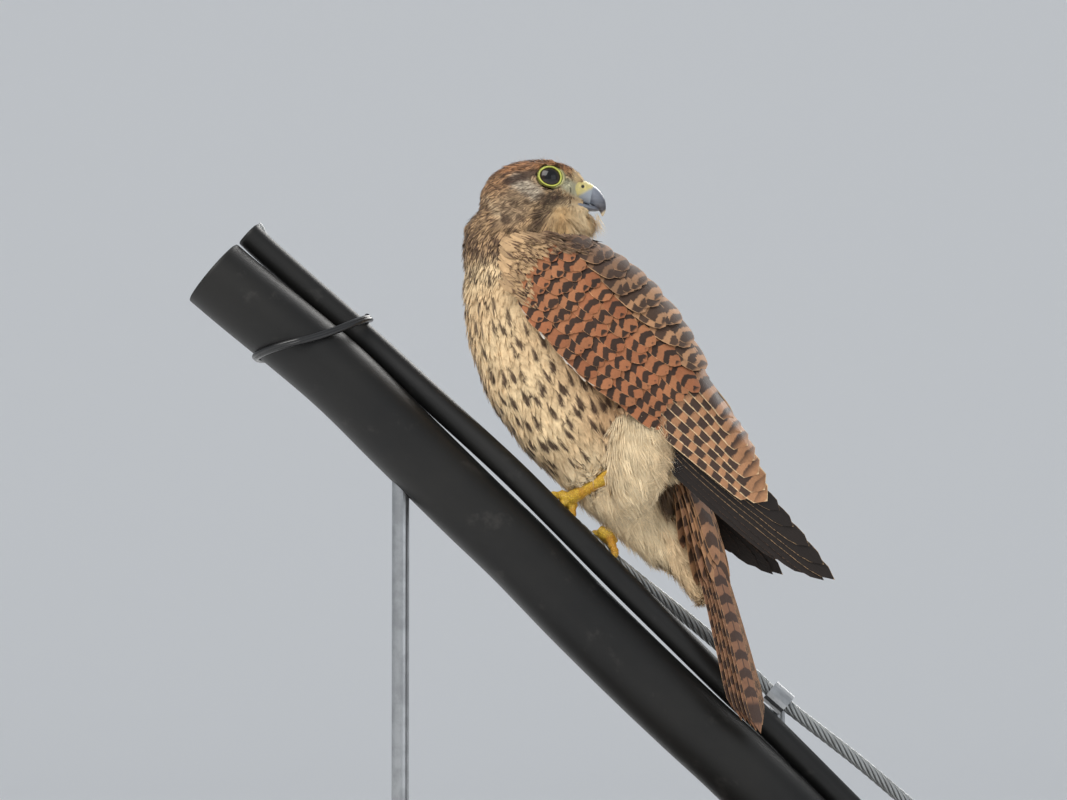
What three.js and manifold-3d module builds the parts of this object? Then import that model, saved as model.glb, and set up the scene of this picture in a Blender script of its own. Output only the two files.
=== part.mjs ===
// Common kestrel, a young bird at life size, perched on a messenger wire beside two black cables.
// Millimetres, +Z up. The bird's left side faces -Y, its breast faces -X and its head looks back to +X.
// The origin is the middle of the underside of the stand's base.
import * as THREE from 'three';
import { mergeVertices } from 'three/addons/utils/BufferGeometryUtils.js';
import { LoftGeometry } from 'three/addons/geometries/LoftGeometry.js';
import Module from 'manifold-3d';

const wasm = await Module();
wasm.setup();

// Driving dimensions
const gap = 0.3; // between touching pieces
const midY = 12; // the bird's middle plane
const headY = 10; // the head's middle plane, turned back over the left shoulder
const thickRadius = 19.2;
const thinRadius = 6.9;
const wireRadius = 3.4;
const tieRadius = 1.6;
const baseLength = 330;
const baseWidth = 180;
const baseHeight = 16;
const baseCorner = 14;
const rodRadius = 4.5;
const rodLeftX = -75;
const rodLeftTop = 262; // above the saddle it is cut to
const rodRightRadius = 4;
const rodRightY = 25.6;
const clampRadius = 6.4;
const clampLength = 12;
const clampPlace = 0.823; // along the wire
const vaneThickness = 0.6;
const vaneLift = 1.7; // how far a vane's upper edge stands over the next one
const eyeRadius = 7.2;
const eyeInset = 9.2; // eye centre from the head's middle plane
const eyeX = 1.7;
const eyeZ = 402;
const toeRadius = 2.1;
const nostrilRadius = 0.95;
const gapeRadius = 0.45;

// How finely the round pieces are divided
const thickShape = { sides: 20, steps: 12 };
const thinShape = { sides: 12, steps: 20 };
const wireShape = { sides: 8, steps: 24 };
const torsoShape = { sides: 18, steps: 10 };
const neckShape = { sides: 16, steps: 5 };
const thighShape = { sides: 12, steps: 6 };
const billShape = { sides: 12, steps: 9 };
const lowerBillShape = { sides: 10, steps: 6 };
const beardShape = { sides: 10, steps: 4 };
const browShape = { sides: 6, steps: 4 };
const legShape = { sides: 9, steps: 6 };
const palmShape = { sides: 9, steps: 4 };
const toeShape = { sides: 6, steps: 5 };
const clawShape = { sides: 6, steps: 4 };
const ventShape = { sides: 14, steps: 6 };
const rumpShape = { sides: 12, steps: 5 };

// Helpers
const at = (x, y, z) => new THREE.Vector3(x, y, z);
const mix = (a, b, t) => a + (b - a) * t;
const clamp01 = (t) => Math.min(1, Math.max(0, t));

let seed = 7;
function draw() {
  seed = (seed * 16807) % 2147483647;
  return seed / 2147483647 - 0.5;
}

// A smooth function through (x, value) pairs.
function through(pairs) {
  return (x) => {
    let i = 0;
    while (i < pairs.length - 2 && x > pairs[i + 1][0]) i++;
    const [x0, v0] = pairs[i];
    const [x1, v1] = pairs[i + 1];
    const t = clamp01((x - x0) / (x1 - x0));
    const before = pairs[Math.max(0, i - 1)];
    const after = pairs[Math.min(pairs.length - 1, i + 2)];
    const slope0 = ((v1 - before[1]) / (x1 - before[0])) * (x1 - x0);
    const slope1 = ((after[1] - v0) / (after[0] - x0)) * (x1 - x0);
    const t2 = t * t;
    const t3 = t2 * t;
    return (2 * t3 - 3 * t2 + 1) * v0 + (t3 - 2 * t2 + t) * slope0
      + (3 * t2 - 2 * t3) * v1 + (t3 - t2) * slope1;
  };
}

// A closed geometry as a solid with its faces outwards.
function solid(geometry) {
  const bare = new THREE.BufferGeometry();
  bare.setAttribute('position', geometry.getAttribute('position'));
  if (geometry.index) bare.setIndex(geometry.index);
  const merged = mergeVertices(bare, 1e-4);
  const triVerts = new Uint32Array(merged.index.array);
  const vertProperties = new Float32Array(merged.getAttribute('position').array);
  const make = () => new wasm.Manifold(new wasm.Mesh({ numProp: 3, vertProperties, triVerts }));
  const made = make();
  if (made.volume() >= 0) return made;
  for (let i = 0; i < triVerts.length; i += 3) {
    [triVerts[i + 1], triVerts[i + 2]] = [triVerts[i + 2], triVerts[i + 1]];
  }
  return make();
}

const join = (pieces) => pieces.reduce((sum, piece) => sum.add(piece));

function largest(body) {
  return body.decompose().reduce((best, b) => (b.volume() > best.volume() ? b : best));
}

// A tapering body through stations of middle [x, y, z], half height a and half width b.
function limb(stations, { sides = 20, steps = 12, across = at(0, 1, 0) } = {}) {
  const middle = new THREE.CatmullRomCurve3(stations.map((s) => at(...s.at)), false, 'catmullrom', 0.5);
  const sizes = new THREE.CatmullRomCurve3(stations.map((s) => at(s.a, s.b, 0)), false, 'catmullrom', 0.5);
  const sections = [];
  for (let i = 0; i <= steps; i++) {
    const t = i / steps;
    const centre = middle.getPoint(t);
    const ahead = middle.getTangent(t);
    const wide = across.clone().addScaledVector(ahead, -across.dot(ahead)).normalize();
    const high = wide.clone().cross(ahead).normalize();
    const size = sizes.getPoint(t);
    const ring = [];
    for (let k = 0; k < sides; k++) {
      const angle = (k / sides) * Math.PI * 2;
      ring.push(centre.clone()
        .addScaledVector(high, Math.cos(angle) * Math.max(size.x, 0.12))
        .addScaledVector(wide, Math.sin(angle) * Math.max(size.y, 0.12)));
    }
    sections.push(ring);
  }
  return solid(new LoftGeometry(sections, { capStart: true, capEnd: true }));
}

const grown = (stations, by) => stations.map((s) => ({ at: s.at, a: s.a + by, b: s.b + by }));

// A round bar along a path.
function bar(path, radius, { sides = 12, steps = 20 } = {}) {
  const section = new THREE.Shape();
  for (let k = 0; k < sides; k++) {
    const angle = (k / sides) * Math.PI * 2;
    const corner = [Math.cos(angle) * radius, Math.sin(angle) * radius];
    if (k === 0) section.moveTo(...corner);
    else section.lineTo(...corner);
  }
  return solid(new THREE.ExtrudeGeometry(section, { steps, extrudePath: path, bevelEnabled: false }));
}

const curve = (points) => new THREE.CatmullRomCurve3(points.map((p) => at(...p)), false, 'catmullrom', 0.5);

function cylinder(from, to, radius, sides = 24) {
  const geometry = new THREE.CylinderGeometry(radius, radius, from.distanceTo(to), sides);
  const turn = new THREE.Quaternion().setFromUnitVectors(at(0, 1, 0), to.clone().sub(from).normalize());
  geometry.applyQuaternion(turn);
  geometry.translate(...from.clone().add(to).multiplyScalar(0.5));
  return solid(geometry);
}

// All that lies behind a plane through point, on the side the normal points away from.
function behind(point, normal) {
  const size = 600;
  const box = new THREE.BoxGeometry(size, size, size);
  box.translate(0, 0, -size / 2);
  box.applyQuaternion(new THREE.Quaternion().setFromUnitVectors(at(0, 0, 1), normal.clone().normalize()));
  box.translate(...point);
  return solid(box);
}

// Parts a body in two by a plane, leaving the gap.
function parted(body, point, normal) {
  const unit = normal.clone().normalize();
  const low = body.intersect(behind(point.clone().addScaledVector(unit, -gap / 2), unit));
  const back = unit.clone().negate();
  const high = body.intersect(behind(point.clone().addScaledVector(unit, gap / 2), back));
  return [low, high];
}

// A thin sheet from a grid of points, each with an under and an over side, split alike on both faces.
function sheet(grid) {
  const rows = grid.length;
  const columns = grid[0].length;
  const points = grid.flatMap((row) => row.flatMap((point) => [point.under, point.over]));
  const under = (i, j) => (i * columns + j) * 2;
  const over = (i, j) => under(i, j) + 1;
  const index = [];
  const quad = (a, b, c, d) => index.push(a, b, c, a, c, d);
  for (let i = 0; i + 1 < rows; i++) {
    for (let j = 0; j + 1 < columns; j++) {
      quad(over(i, j), over(i, j + 1), over(i + 1, j + 1), over(i + 1, j));
      index.push(under(i, j), under(i + 1, j + 1), under(i, j + 1));
      index.push(under(i, j), under(i + 1, j), under(i + 1, j + 1));
    }
    quad(under(i, 0), over(i, 0), over(i + 1, 0), under(i + 1, 0));
    const j = columns - 1;
    quad(over(i, j), under(i, j), under(i + 1, j), over(i + 1, j));
  }
  for (let j = 0; j + 1 < columns; j++) {
    quad(under(0, j + 1), over(0, j + 1), over(0, j), under(0, j));
    const i = rows - 1;
    quad(under(i, j), over(i, j), over(i, j + 1), under(i, j + 1));
  }
  const geometry = new THREE.BufferGeometry().setFromPoints(points);
  geometry.setIndex(index);
  return solid(geometry);
}

const root = new THREE.Group();
function show(name, body, color, roughness = 0.8, metalness = 0) {
  const mesh = largest(body).getMesh();
  const geometry = new THREE.BufferGeometry();
  geometry.setAttribute('position', new THREE.BufferAttribute(new Float32Array(mesh.vertProperties), 3));
  geometry.setIndex(new THREE.BufferAttribute(new Uint32Array(mesh.triVerts), 1));
  geometry.computeVertexNormals();
  const piece = new THREE.Mesh(geometry, new THREE.MeshStandardMaterial({ color, roughness, metalness }));
  piece.name = name;
  root.add(piece);
}

// Perch: a thick cable, a thin cable tied to it and the stranded wire the bird grips
const thickPath = curve([
  [-173, 0, 353], [-158, 0, 340.3], [-109.7, 0, 300.3], [-74.6, 0, 266], [-38.5, 0, 230.6],
  [-13, 0, 206.2], [17.2, 0, 175], [48.9, 0, 143.8], [75.4, 0, 118.8], [102.4, 0, 93.8], [157, 0, 40],
]);
const thinPath = curve([
  [-155.5, 9, 374], [-141.4, 9.5, 360.8], [-93.1, 10.5, 318.5], [-56.7, 5, 285.2], [-19.5, -1, 250.9],
  [5.7, -4, 225.7], [36.3, -4, 194.7], [68.3, -1, 163.2], [94.6, 4.5, 137.4], [121.2, 8, 112], [175, 8, 58],
]);
const wirePath = curve([
  [-152, 20.5, 379], [-140, 21, 362], [-92, 21.5, 320], [-55, 17, 287.3], [-16.8, 13, 253.6],
  [8.4, 11, 228.5], [24.5, 11, 213.6], [40.8, 11.5, 199.4], [70.2, 14, 176], [105.6, 17, 146.4],
  [124.8, 17, 128.7], [162.8, 17, 99], [190, 17, 76],
]);
const thick = bar(thickPath, thickRadius, thickShape);
const thin = bar(thinPath, thinRadius, thinShape);
const wire = bar(wirePath, wireRadius, wireShape);
show('cable_thick', thick, 0x1b1918, 0.62);
show('cable_thin', thin, 0x191717, 0.5);
show('messenger_wire', wire, 0x6d7274, 0.35, 0.9);

// The tie: a cord round both cables, in a slanted turn
const tieCentre = at(-126, 0, 314);
const tieTurn = at(0.7, 0, -0.71);
const tieUp = at(0.71, 0, 0.7);
const tieMarks = 24;
const tiePoints = [];
for (let k = 0; k < tieMarks; k++) {
  const angle = (k / tieMarks) * Math.PI * 2;
  const up = Math.cos(angle);
  const side = Math.sin(angle);
  const reach = thickRadius + tieRadius + 0.9;
  const high = up > 0 ? reach + 13.5 * up ** 1.4 : reach;
  const point = tieCentre.clone()
    .addScaledVector(tieUp, up * high)
    .addScaledVector(tieTurn, 13 * up + 2 * side);
  point.y = side * (reach + 0.4) + (up > 0 ? 5.5 * up : 0);
  tiePoints.push(point);
}
const tieRing = new THREE.CatmullRomCurve3(tiePoints, true, 'catmullrom', 0.5);
const tieSections = [];
const tieSteps = 24;
const tieSides = 6;
for (let i = 0; i < tieSteps; i++) {
  const centre = tieRing.getPoint(i / tieSteps);
  const ahead = tieRing.getTangent(i / tieSteps);
  const out = centre.clone().sub(tieCentre);
  out.addScaledVector(ahead, -out.dot(ahead)).normalize();
  const wide = out.clone().cross(ahead).normalize();
  const ring = [];
  for (let k = 0; k < tieSides; k++) {
    const angle = (k / tieSides) * Math.PI * 2;
    ring.push(centre.clone()
      .addScaledVector(out, Math.cos(angle) * tieRadius)
      .addScaledVector(wide, Math.sin(angle) * tieRadius * 1.5));
  }
  tieSections.push(ring);
}
tieSections.push(tieSections[0].map((p) => p.clone()));
const tie = solid(new LoftGeometry(tieSections))
  .subtract(bar(thickPath, thickRadius + gap, thickShape))
  .subtract(bar(thinPath, thinRadius + gap, thinShape))
  .subtract(bar(wirePath, wireRadius + gap, wireShape));
show('cable_tie', tie, 0x0d0d0e, 0.3);

// Display stand: a rounded flat base and two rods
const plate = new THREE.Shape();
const halfL = baseLength / 2 - baseCorner;
const halfW = baseWidth / 2 - baseCorner;
plate.absarc(halfL, halfW, baseCorner, 0, Math.PI / 2);
plate.absarc(-halfL, halfW, baseCorner, Math.PI / 2, Math.PI);
plate.absarc(-halfL, -halfW, baseCorner, Math.PI, Math.PI * 1.5);
plate.absarc(halfL, -halfW, baseCorner, Math.PI * 1.5, Math.PI * 2);
const chamfer = 1.5;
const plateGeometry = new THREE.ExtrudeGeometry(plate, {
  depth: baseHeight - 2 * chamfer, curveSegments: 4,
  bevelSegments: 1, bevelSize: chamfer, bevelThickness: chamfer, bevelOffset: -chamfer,
});
plateGeometry.translate(0, 0, chamfer);
show('stand_base', solid(plateGeometry), 0x2b2a29, 0.5);
const rodFoot = baseHeight + gap;
const rodSides = 20;
const clampSides = 16;
const rodLeft = cylinder(at(rodLeftX, 0, rodFoot), at(rodLeftX, 0, rodLeftTop), rodRadius, rodSides)
  .subtract(bar(thickPath, thickRadius + gap, thickShape));
show('stand_rod_left', rodLeft, 0x8f9294, 0.3, 0.9);
const clampAt = wirePath.getPoint(clampPlace);
const clampHalf = wirePath.getTangent(clampPlace).multiplyScalar(clampLength / 2);
const clampBar = cylinder(clampAt.clone().sub(clampHalf), clampAt.clone().add(clampHalf), clampRadius, clampSides);
const rodRightTop = at(clampAt.x, rodRightY, clampAt.z + 2);
const rodRight = cylinder(at(clampAt.x, rodRightY, rodFoot), rodRightTop, rodRightRadius, rodSides)
  .add(clampBar)
  .subtract(bar(wirePath, wireRadius + gap, wireShape))
  .subtract(bar(thinPath, thinRadius + gap, thinShape))
  .subtract(bar(thickPath, thickRadius + gap, thickShape));
show('stand_rod_right', rodRight, 0x8f9294, 0.3, 0.9);

// Torso, neck and head, modelled whole and parted by thin cuts
const torsoStations = [
  { at: [-25.5, midY, 374], a: 12, b: 10 },
  { at: [-22, midY, 369], a: 22, b: 18 },
  { at: [-17.5, midY, 360.7], a: 30, b: 25 },
  { at: [-10, midY, 347], a: 37, b: 30 },
  { at: [-2.8, midY, 333.2], a: 42, b: 32 },
  { at: [10.1, midY, 304.7], a: 44.5, b: 32.6 },
  { at: [23.2, midY, 276.3], a: 38.5, b: 31 },
  { at: [37.4, midY + 2, 248.6], a: 26.5, b: 20 },
  { at: [53.3, midY + 1, 221.6], a: 15.5, b: 13 },
  { at: [63, midY - 1, 205.5], a: 9, b: 9 },
  { at: [66, midY - 2, 200.5], a: 3, b: 4 },
];
const torsoWhole = limb(torsoStations, torsoShape);
const torsoGrown = limb(grown(torsoStations, gap), torsoShape);

const neckStations = [
  { at: [-13, midY, 340], a: 22, b: 20 },
  { at: [-12.5, midY, 350], a: 31, b: 26 },
  { at: [-11.2, midY, 361.6], a: 33.2, b: 26 },
  { at: [-9.4, 11, 372], a: 33.8, b: 23.5 },
  { at: [-8.5, headY, 380], a: 30, b: 21 },
  { at: [-8, headY, 388], a: 22, b: 17 },
];
const neckWhole = limb(neckStations, neckShape);

// The rump, which the tail grows from
const rumpStations = [
  { at: [38, midY, 276], a: 14, b: 14 },
  { at: [52, midY, 262], a: 15, b: 15 },
  { at: [66, midY - 1.5, 250], a: 12, b: 13 },
  { at: [75, midY - 3, 238], a: 8, b: 10 },
  { at: [79, midY - 4, 228], a: 4.5, b: 8 },
];

// Head sections across X: crown height, throat height and half width
const crown = through([[-34, 396], [-31.2, 401.7], [-27, 406.4], [-18.7, 411], [-10.4, 412.6],
  [-2.6, 412.9], [5.2, 412], [11.4, 410.3], [16.6, 407.6], [21.3, 403], [24, 399]]);
const throat = through([[-34, 384], [-31.2, 376], [-27, 370], [-10, 367], [5, 367.5], [16.6, 369.6], [24, 372]]);
const headHalf = through([[-34, 4.5], [-31.2, 9], [-27, 13], [-18.7, 17.2], [-10.4, 19], [-2.6, 19],
  [5.2, 17.4], [11.4, 14.2], [16.6, 10.6], [21.3, 7.2], [24, 5]]);
const headFrom = -34;
const headTo = 24;
const headSteps = 11;
const headSides = 18;
function headLoft(by) {
  const sections = [];
  for (let i = 0; i <= headSteps; i++) {
    const x = mix(headFrom - by, headTo + by, i / headSteps);
    const middle = (crown(x) + throat(x)) / 2;
    const high = (crown(x) - throat(x)) / 2 + by;
    const ring = [];
    for (let k = 0; k < headSides; k++) {
      const angle = (k / headSides) * Math.PI * 2;
      const rise = Math.sin(angle);
      const flat = Math.sign(Math.cos(angle)) * Math.abs(Math.cos(angle)) ** 0.85;
      const narrow = rise < 0 ? 1 - 0.18 * rise * rise : 1;
      ring.push(at(x, headY + flat * (headHalf(x) + by) * narrow, middle + rise * high));
    }
    sections.push(ring);
  }
  return solid(new LoftGeometry(sections, { capStart: true, capEnd: true }));
}
const beardStations = [
  { at: [12, headY, 380.5], a: 10.5, b: 9.5 },
  { at: [19, headY, 378.8], a: 8.8, b: 7.2 },
  { at: [24, headY, 377], a: 6.4, b: 4.8 },
  { at: [27.5, headY, 375.6], a: 3.4, b: 2.6 },
  { at: [29, headY, 375], a: 1, b: 0.8 },
];
const browOf = (side) => limb([
  { at: [-9, headY + side * 11.9, 407.2], a: 1.2, b: 1.5 },
  { at: [-3, headY + side * 13.1, 408.4], a: 2.2, b: 2 },
  { at: [4, headY + side * 12.6, 408.6], a: 2.4, b: 2.2 },
  { at: [11, headY + side * 9.9, 406.8], a: 2.1, b: 1.8 },
  { at: [16, headY + side * 7, 404.6], a: 1.1, b: 1 },
], browShape);

// Bill: cere and upper half as one taper, parted by a slanted cut, and the lower half
const upperStations = [
  { at: [11, headY, 397.5], a: 4.6, b: 6.6 },
  { at: [17, headY, 396.8], a: 5.4, b: 6.2 },
  { at: [21, headY, 395.6], a: 5.3, b: 5.5 },
  { at: [25, headY, 393.7], a: 4.7, b: 4.5 },
  { at: [28.2, headY, 390.6], a: 3.5, b: 3.3 },
  { at: [29.9, headY, 387], a: 2.1, b: 2 },
  { at: [30.2, headY, 384.4], a: 0.9, b: 0.9 },
  { at: [30, headY, 383.2], a: 0.3, b: 0.3 },
];
const lowerStations = [
  { at: [12, headY, 389.6], a: 1.7, b: 6 },
  { at: [17, headY, 388.9], a: 1.8, b: 5.5 },
  { at: [22, headY, 387.6], a: 1.7, b: 4.6 },
  { at: [26, headY, 386.6], a: 1.2, b: 3.1 },
  { at: [28, headY, 386.2], a: 0.5, b: 1.4 },
];
const upperWhole = limb(upperStations, billShape);
const lowerGrown = limb(grown(lowerStations, gap), lowerBillShape);
const upperGrown = limb(grown(upperStations, gap), billShape);
const lowerBill = limb(lowerStations, lowerBillShape);
let [cere, upperBill] = parted(upperWhole.subtract(lowerGrown), at(19.6, headY, 396.5), at(0.83, 0, -0.56));
const nostrilSides = 10;
for (const side of [-1, 1]) {
  const inner = at(19.4, headY + side * 3.4, 398.2);
  const outer = at(20.8, headY + side * 9, 398.2);
  cere = cere.subtract(cylinder(inner, outer, nostrilRadius, nostrilSides));
}
show('bill_upper', upperBill, 0x6d7686, 0.35);
show('bill_lower', lowerBill, 0x6a7280, 0.35);
show('cere', cere, 0xc9c157, 0.5);

let headWhole = join([
  headLoft(0), limb(beardStations, beardShape), browOf(-1), browOf(1),
]);
let upperBody = headWhole.add(neckWhole).add(torsoWhole);
const gape = cylinder(at(8.5, headY - 30, 390.6), at(8.5, headY + 30, 390.6), gapeRadius, 6);
upperBody = upperBody.subtract(gape);

// Eyes, each in its socket with a bare ring of lid round it, turned a little forward and up.
// The ring's section is given as radius and height over the eye's centre.
const lidOuter = 7;
const lidProfile = [[5.5, 5.05], [6.1, 5.8], [6.7, 5.7], [lidOuter, 5.1], [lidOuter, 4.4], [6.1, 4.3]];
const lidSides = 16;
const socketFloor = 4.1;
for (const [side, label] of [[-1, 'right'], [1, 'left']]) {
  const centre = at(eyeX, headY + side * eyeInset, eyeZ);
  const gaze = at(0.2, side, 0.12).normalize();
  const ball = new THREE.SphereGeometry(eyeRadius, 14, 9);
  ball.translate(...centre);
  const socketBall = new THREE.SphereGeometry(eyeRadius + 2 * gap, 12, 8);
  socketBall.translate(...centre);
  const ringPoints = [...lidProfile, lidProfile[0]].map(([r, rise]) => new THREE.Vector2(r, rise));
  const ringGeometry = new THREE.LatheGeometry(ringPoints, lidSides);
  ringGeometry.applyQuaternion(new THREE.Quaternion().setFromUnitVectors(at(0, 1, 0), gaze));
  ringGeometry.translate(...centre);
  const floor = centre.clone().addScaledVector(gaze, socketFloor);
  const opening = centre.clone().addScaledVector(gaze, 2 * eyeRadius);
  upperBody = upperBody.subtract(solid(socketBall)).subtract(cylinder(floor, opening, lidOuter + gap, lidSides));
  show('eye_' + label, solid(ball), 0x120c09, 0.08);
  show('eyelid_' + label, solid(ringGeometry), 0xb6b95a, 0.45);
}
upperBody = upperBody.subtract(upperGrown).subtract(lowerGrown);

// Thighs, from the flank down to the ankle
const thighStations = {
  left: [
    { at: [41, midY - 22, 289], a: 5, b: 4 },
    { at: [46, midY - 26, 278], a: 14, b: 9 },
    { at: [49.5, midY - 27, 263], a: 19, b: 12 },
    { at: [47.5, midY - 24, 248], a: 17.5, b: 12 },
    { at: [45.5, midY - 18, 234], a: 12, b: 9 },
    { at: [45.5, midY - 14, 225], a: 4.5, b: 4 },
  ],
  right: [
    { at: [42, midY + 22, 285], a: 5, b: 4 },
    { at: [47, midY + 26, 274], a: 14, b: 9 },
    { at: [50.5, midY + 27, 259], a: 18, b: 12 },
    { at: [50, midY + 22, 244], a: 15.5, b: 12 },
    { at: [49, midY + 15, 231], a: 10, b: 9 },
    { at: [49, midY + 11, 223], a: 4, b: 4 },
  ],
};
const thighGrown = {
  left: limb(grown(thighStations.left, gap), thighShape),
  right: limb(grown(thighStations.right, gap), thighShape),
};

const frontGrown = join([
  torsoGrown, limb(grown(rumpStations, gap), rumpShape), limb(grown(neckStations, gap), neckShape), headLoft(gap),
  limb(grown(beardStations, gap), beardShape),
]);

// Wings. A wing surface is measured along (s) from the wrist to the tip and across (w) from its lower
// to its back edge; h is the height over the skin. Both wings use the same numbers, mirrored.
const wristX = -9.9;
const wristZ = 330.4;
const alongX = 0.76;
const alongZ = -0.65;
const sideReach = through([[-20, 31], [0, 34.2], [40, 35.4], [80, 33.5], [110, 28], [150, 20], [185, 14], [215, 10]]);
const backEdge = through([[-20, 42], [0, 47.5], [23, 51], [42, 50.5], [61, 46.5], [81, 40], [96, 32.5], [110, 28],
  [128, 24.5], [151, 19.5], [190, 12.5], [215, 8]]);
const bellyEdge = through([[-20, 8], [-12, 4], [0, 0], [19, -3], [33, -5.5], [48, -6], [68, -3], [110, -6], [150, -9],
  [190, -6], [215, -3]]);

function wingPoint(wing, s, w, h) {
  const { side, scale, tilt } = wing;
  const flat = (ss, ww) => {
    const top = backEdge(ss) + 1.5;
    const start = Math.min(12, top * 0.45);
    const over = clamp01((ww - start) / (top - start));
    const lap = ww > start ? Math.sqrt(Math.max(0, 1 - over ** 2.2)) : 1;
    const reach = sideReach(ss) * (0.12 + 0.88 * lap);
    const turn = tilt * (Math.PI / 180);
    const a = (ss * Math.cos(turn) + ww * Math.sin(turn)) * scale;
    const c = (ww * Math.cos(turn) - ss * Math.sin(turn)) * scale;
    return at(wristX + a * alongX - c * alongZ, midY + side * reach, wristZ + a * alongZ + c * alongX);
  };
  const step = 0.6;
  const p = flat(s, w);
  const ds = flat(s + step, w).sub(flat(s - step, w));
  const dw = flat(s, w + step).sub(flat(s, w - step));
  const normal = ds.cross(dw).normalize();
  if (normal.y * side < 0) normal.negate();
  return p.addScaledVector(normal, h);
}

// A feather on the wing surface, from a root (s, w) to a tip, with its lower edge raised over the next one.
function wingVane(wing, { from, to, width, low, tipLow = low, lift = vaneLift, steps = 4, bend = 0, blunt = 0.55 }) {
  const direction = [to[0] - from[0], to[1] - from[1]];
  const length = Math.hypot(...direction);
  const perp = [-direction[1] / length, direction[0] / length];
  const stations = [];
  for (let i = 0; i <= steps; i++) {
    const t = i / steps;
    const sag = bend * Math.sin(Math.PI * t);
    const middle = [from[0] + direction[0] * t + perp[0] * sag, from[1] + direction[1] * t + perp[1] * sag];
    const wide = (width / 2) * (i === steps ? blunt : mix(0.7, 1, Math.min(1, t * 2)));
    const h = mix(low, tipLow, Math.min(1, t * 1.3));
    const edge = (sign, height) => wingPoint(wing, middle[0] + perp[0] * sign * wide,
      middle[1] + perp[1] * sign * wide, height);
    const thickness = vaneThickness * (i === steps ? 0.7 : 1);
    const raised = h + lift * Math.min(1, 0.15 + t);
    stations.push([
      { under: edge(-1, raised), over: edge(-1, raised + thickness) },
      { under: edge(1, h), over: edge(1, h + thickness) },
    ]);
  }
  return sheet(stations);
}

// A slab of the wing between two stations along and two edges across.
function wingSlab(wing, { sFrom, sTo, low, high, from, to, sSteps = 10, wSteps = 8 }) {
  const grid = [];
  for (let i = 0; i <= sSteps; i++) {
    const s = mix(sFrom, sTo, i / sSteps);
    const row = [];
    for (let j = 0; j <= wSteps; j++) {
      const w = mix(low(s), high(s), j / wSteps);
      const rim = (i === 0 || i === sSteps ? 0.5 : 1) * (j === 0 || j === wSteps ? 0.35 : 1);
      row.push({ under: wingPoint(wing, s, w, from), over: wingPoint(wing, s, w, mix(from, to, rim)) });
    }
    grid.push(row);
  }
  return sheet(grid);
}

const wings = {
  left: { side: -1, scale: 1, tilt: 0, drop: 0 },
  right: { side: 1, scale: 0.9, tilt: 4.4, drop: 3 },
};
const skin = 0.5; // how far the wing's inner face stands off the body
const armTop = 4.4;
const secondaryCount = 6;
const rootFrom = 78.8;
const rootTo = 86.5;

// Rows of coverts on the folded arm: where they spring, how long, how many and how wide
const covertRows = [
  { s: 62, length: 34, count: 5, width: 9, low: 3.6, tipLow: 4.3 },
  { s: 42, length: 29, count: 5, width: 10, low: 3.6, tipLow: 5.6 },
  { s: 22, length: 29, count: 5, width: 10.4, low: 3.6, tipLow: 5.6 },
  { s: 4, length: 27, count: 4, width: 11.4, low: 3.6, tipLow: 5.4 },
];
const covertLift = 1.6;

function coverts(wing) {
  const pieces = [];
  for (const row of covertRows) {
    for (let i = 0; i < row.count; i++) {
      const across = (i + 0.5) / row.count;
      const start = row.s + 3 * draw();
      const end = start + row.length + 3 * draw();
      const from = [start, mix(bellyEdge(start) + 1.5, backEdge(start) * 0.74 - 1.5, across)];
      const to = [end, mix(bellyEdge(end) + 1.5, backEdge(end) * 0.74 - 1.5, across)];
      pieces.push(wingVane(wing, { ...row, from, to, lift: covertLift, steps: 2 }));
    }
  }
  for (let i = 0; i < 3; i++) { // alula and primary coverts along the lower edge
    const start = 24 + i * 15;
    pieces.push(wingVane(wing, {
      from: [start, bellyEdge(start) + 1.2], to: [start + 31, bellyEdge(start + 31) - 0.8 + i],
      width: 5, low: 1.2 + 0.9 * i, tipLow: 2.4 + 0.9 * i, lift: 0.6, steps: 2,
    }));
  }
  return pieces;
}

function secondaries(wing) {
  const pieces = [wingSlab(wing, {
    sFrom: rootFrom, sTo: rootTo, low: (s) => bellyEdge(s) + 3, high: (s) => backEdge(s) * 0.86,
    from: skin, to: armTop - 0.7, sSteps: 1, wSteps: 5,
  })];
  for (let i = 0; i < secondaryCount; i++) {
    const up = i / (secondaryCount - 1);
    const tip = i === 0 ? 151 : 161 - 40 * up ** 1.25;
    pieces.push(wingVane(wing, {
      from: [rootFrom + 3, mix(0.5, 27, up)], to: [tip + 3 * draw(), mix(4.5, 23.5, up)],
      width: 9.6, low: 0.7, lift: 2.5, bend: 0.6, steps: 3,
    }));
  }
  return pieces;
}

// Primaries, from the short outermost one up to those under the secondaries: tip (s, w)
const primaryTips = [[196, -5.5], [209, -1.5], [202, 1.6], [189, 4.4], [176, 6.8], [161, 8.6]];
function primaries(wing) {
  const pieces = [wingSlab(wing, {
    sFrom: 87, sTo: 97, low: (s) => bellyEdge(s) - 5.5 - wing.drop, high: () => 9, from: -3.7, to: 0.1, sSteps: 1, wSteps: 3,
  })];
  primaryTips.forEach((tip, i) => {
    const drop = wing.drop * (1 - i / 5); // the outer ones of the far wing hang lower
    pieces.push(wingVane(wing, {
      from: [90, -8 + i * 2.9 - drop], to: [tip[0] - drop, tip[1] - drop], width: 9, low: -3.5, lift: 2.7, bend: -1.2, steps: 4, blunt: 0.42,
    }));
  });
  return pieces;
}

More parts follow.
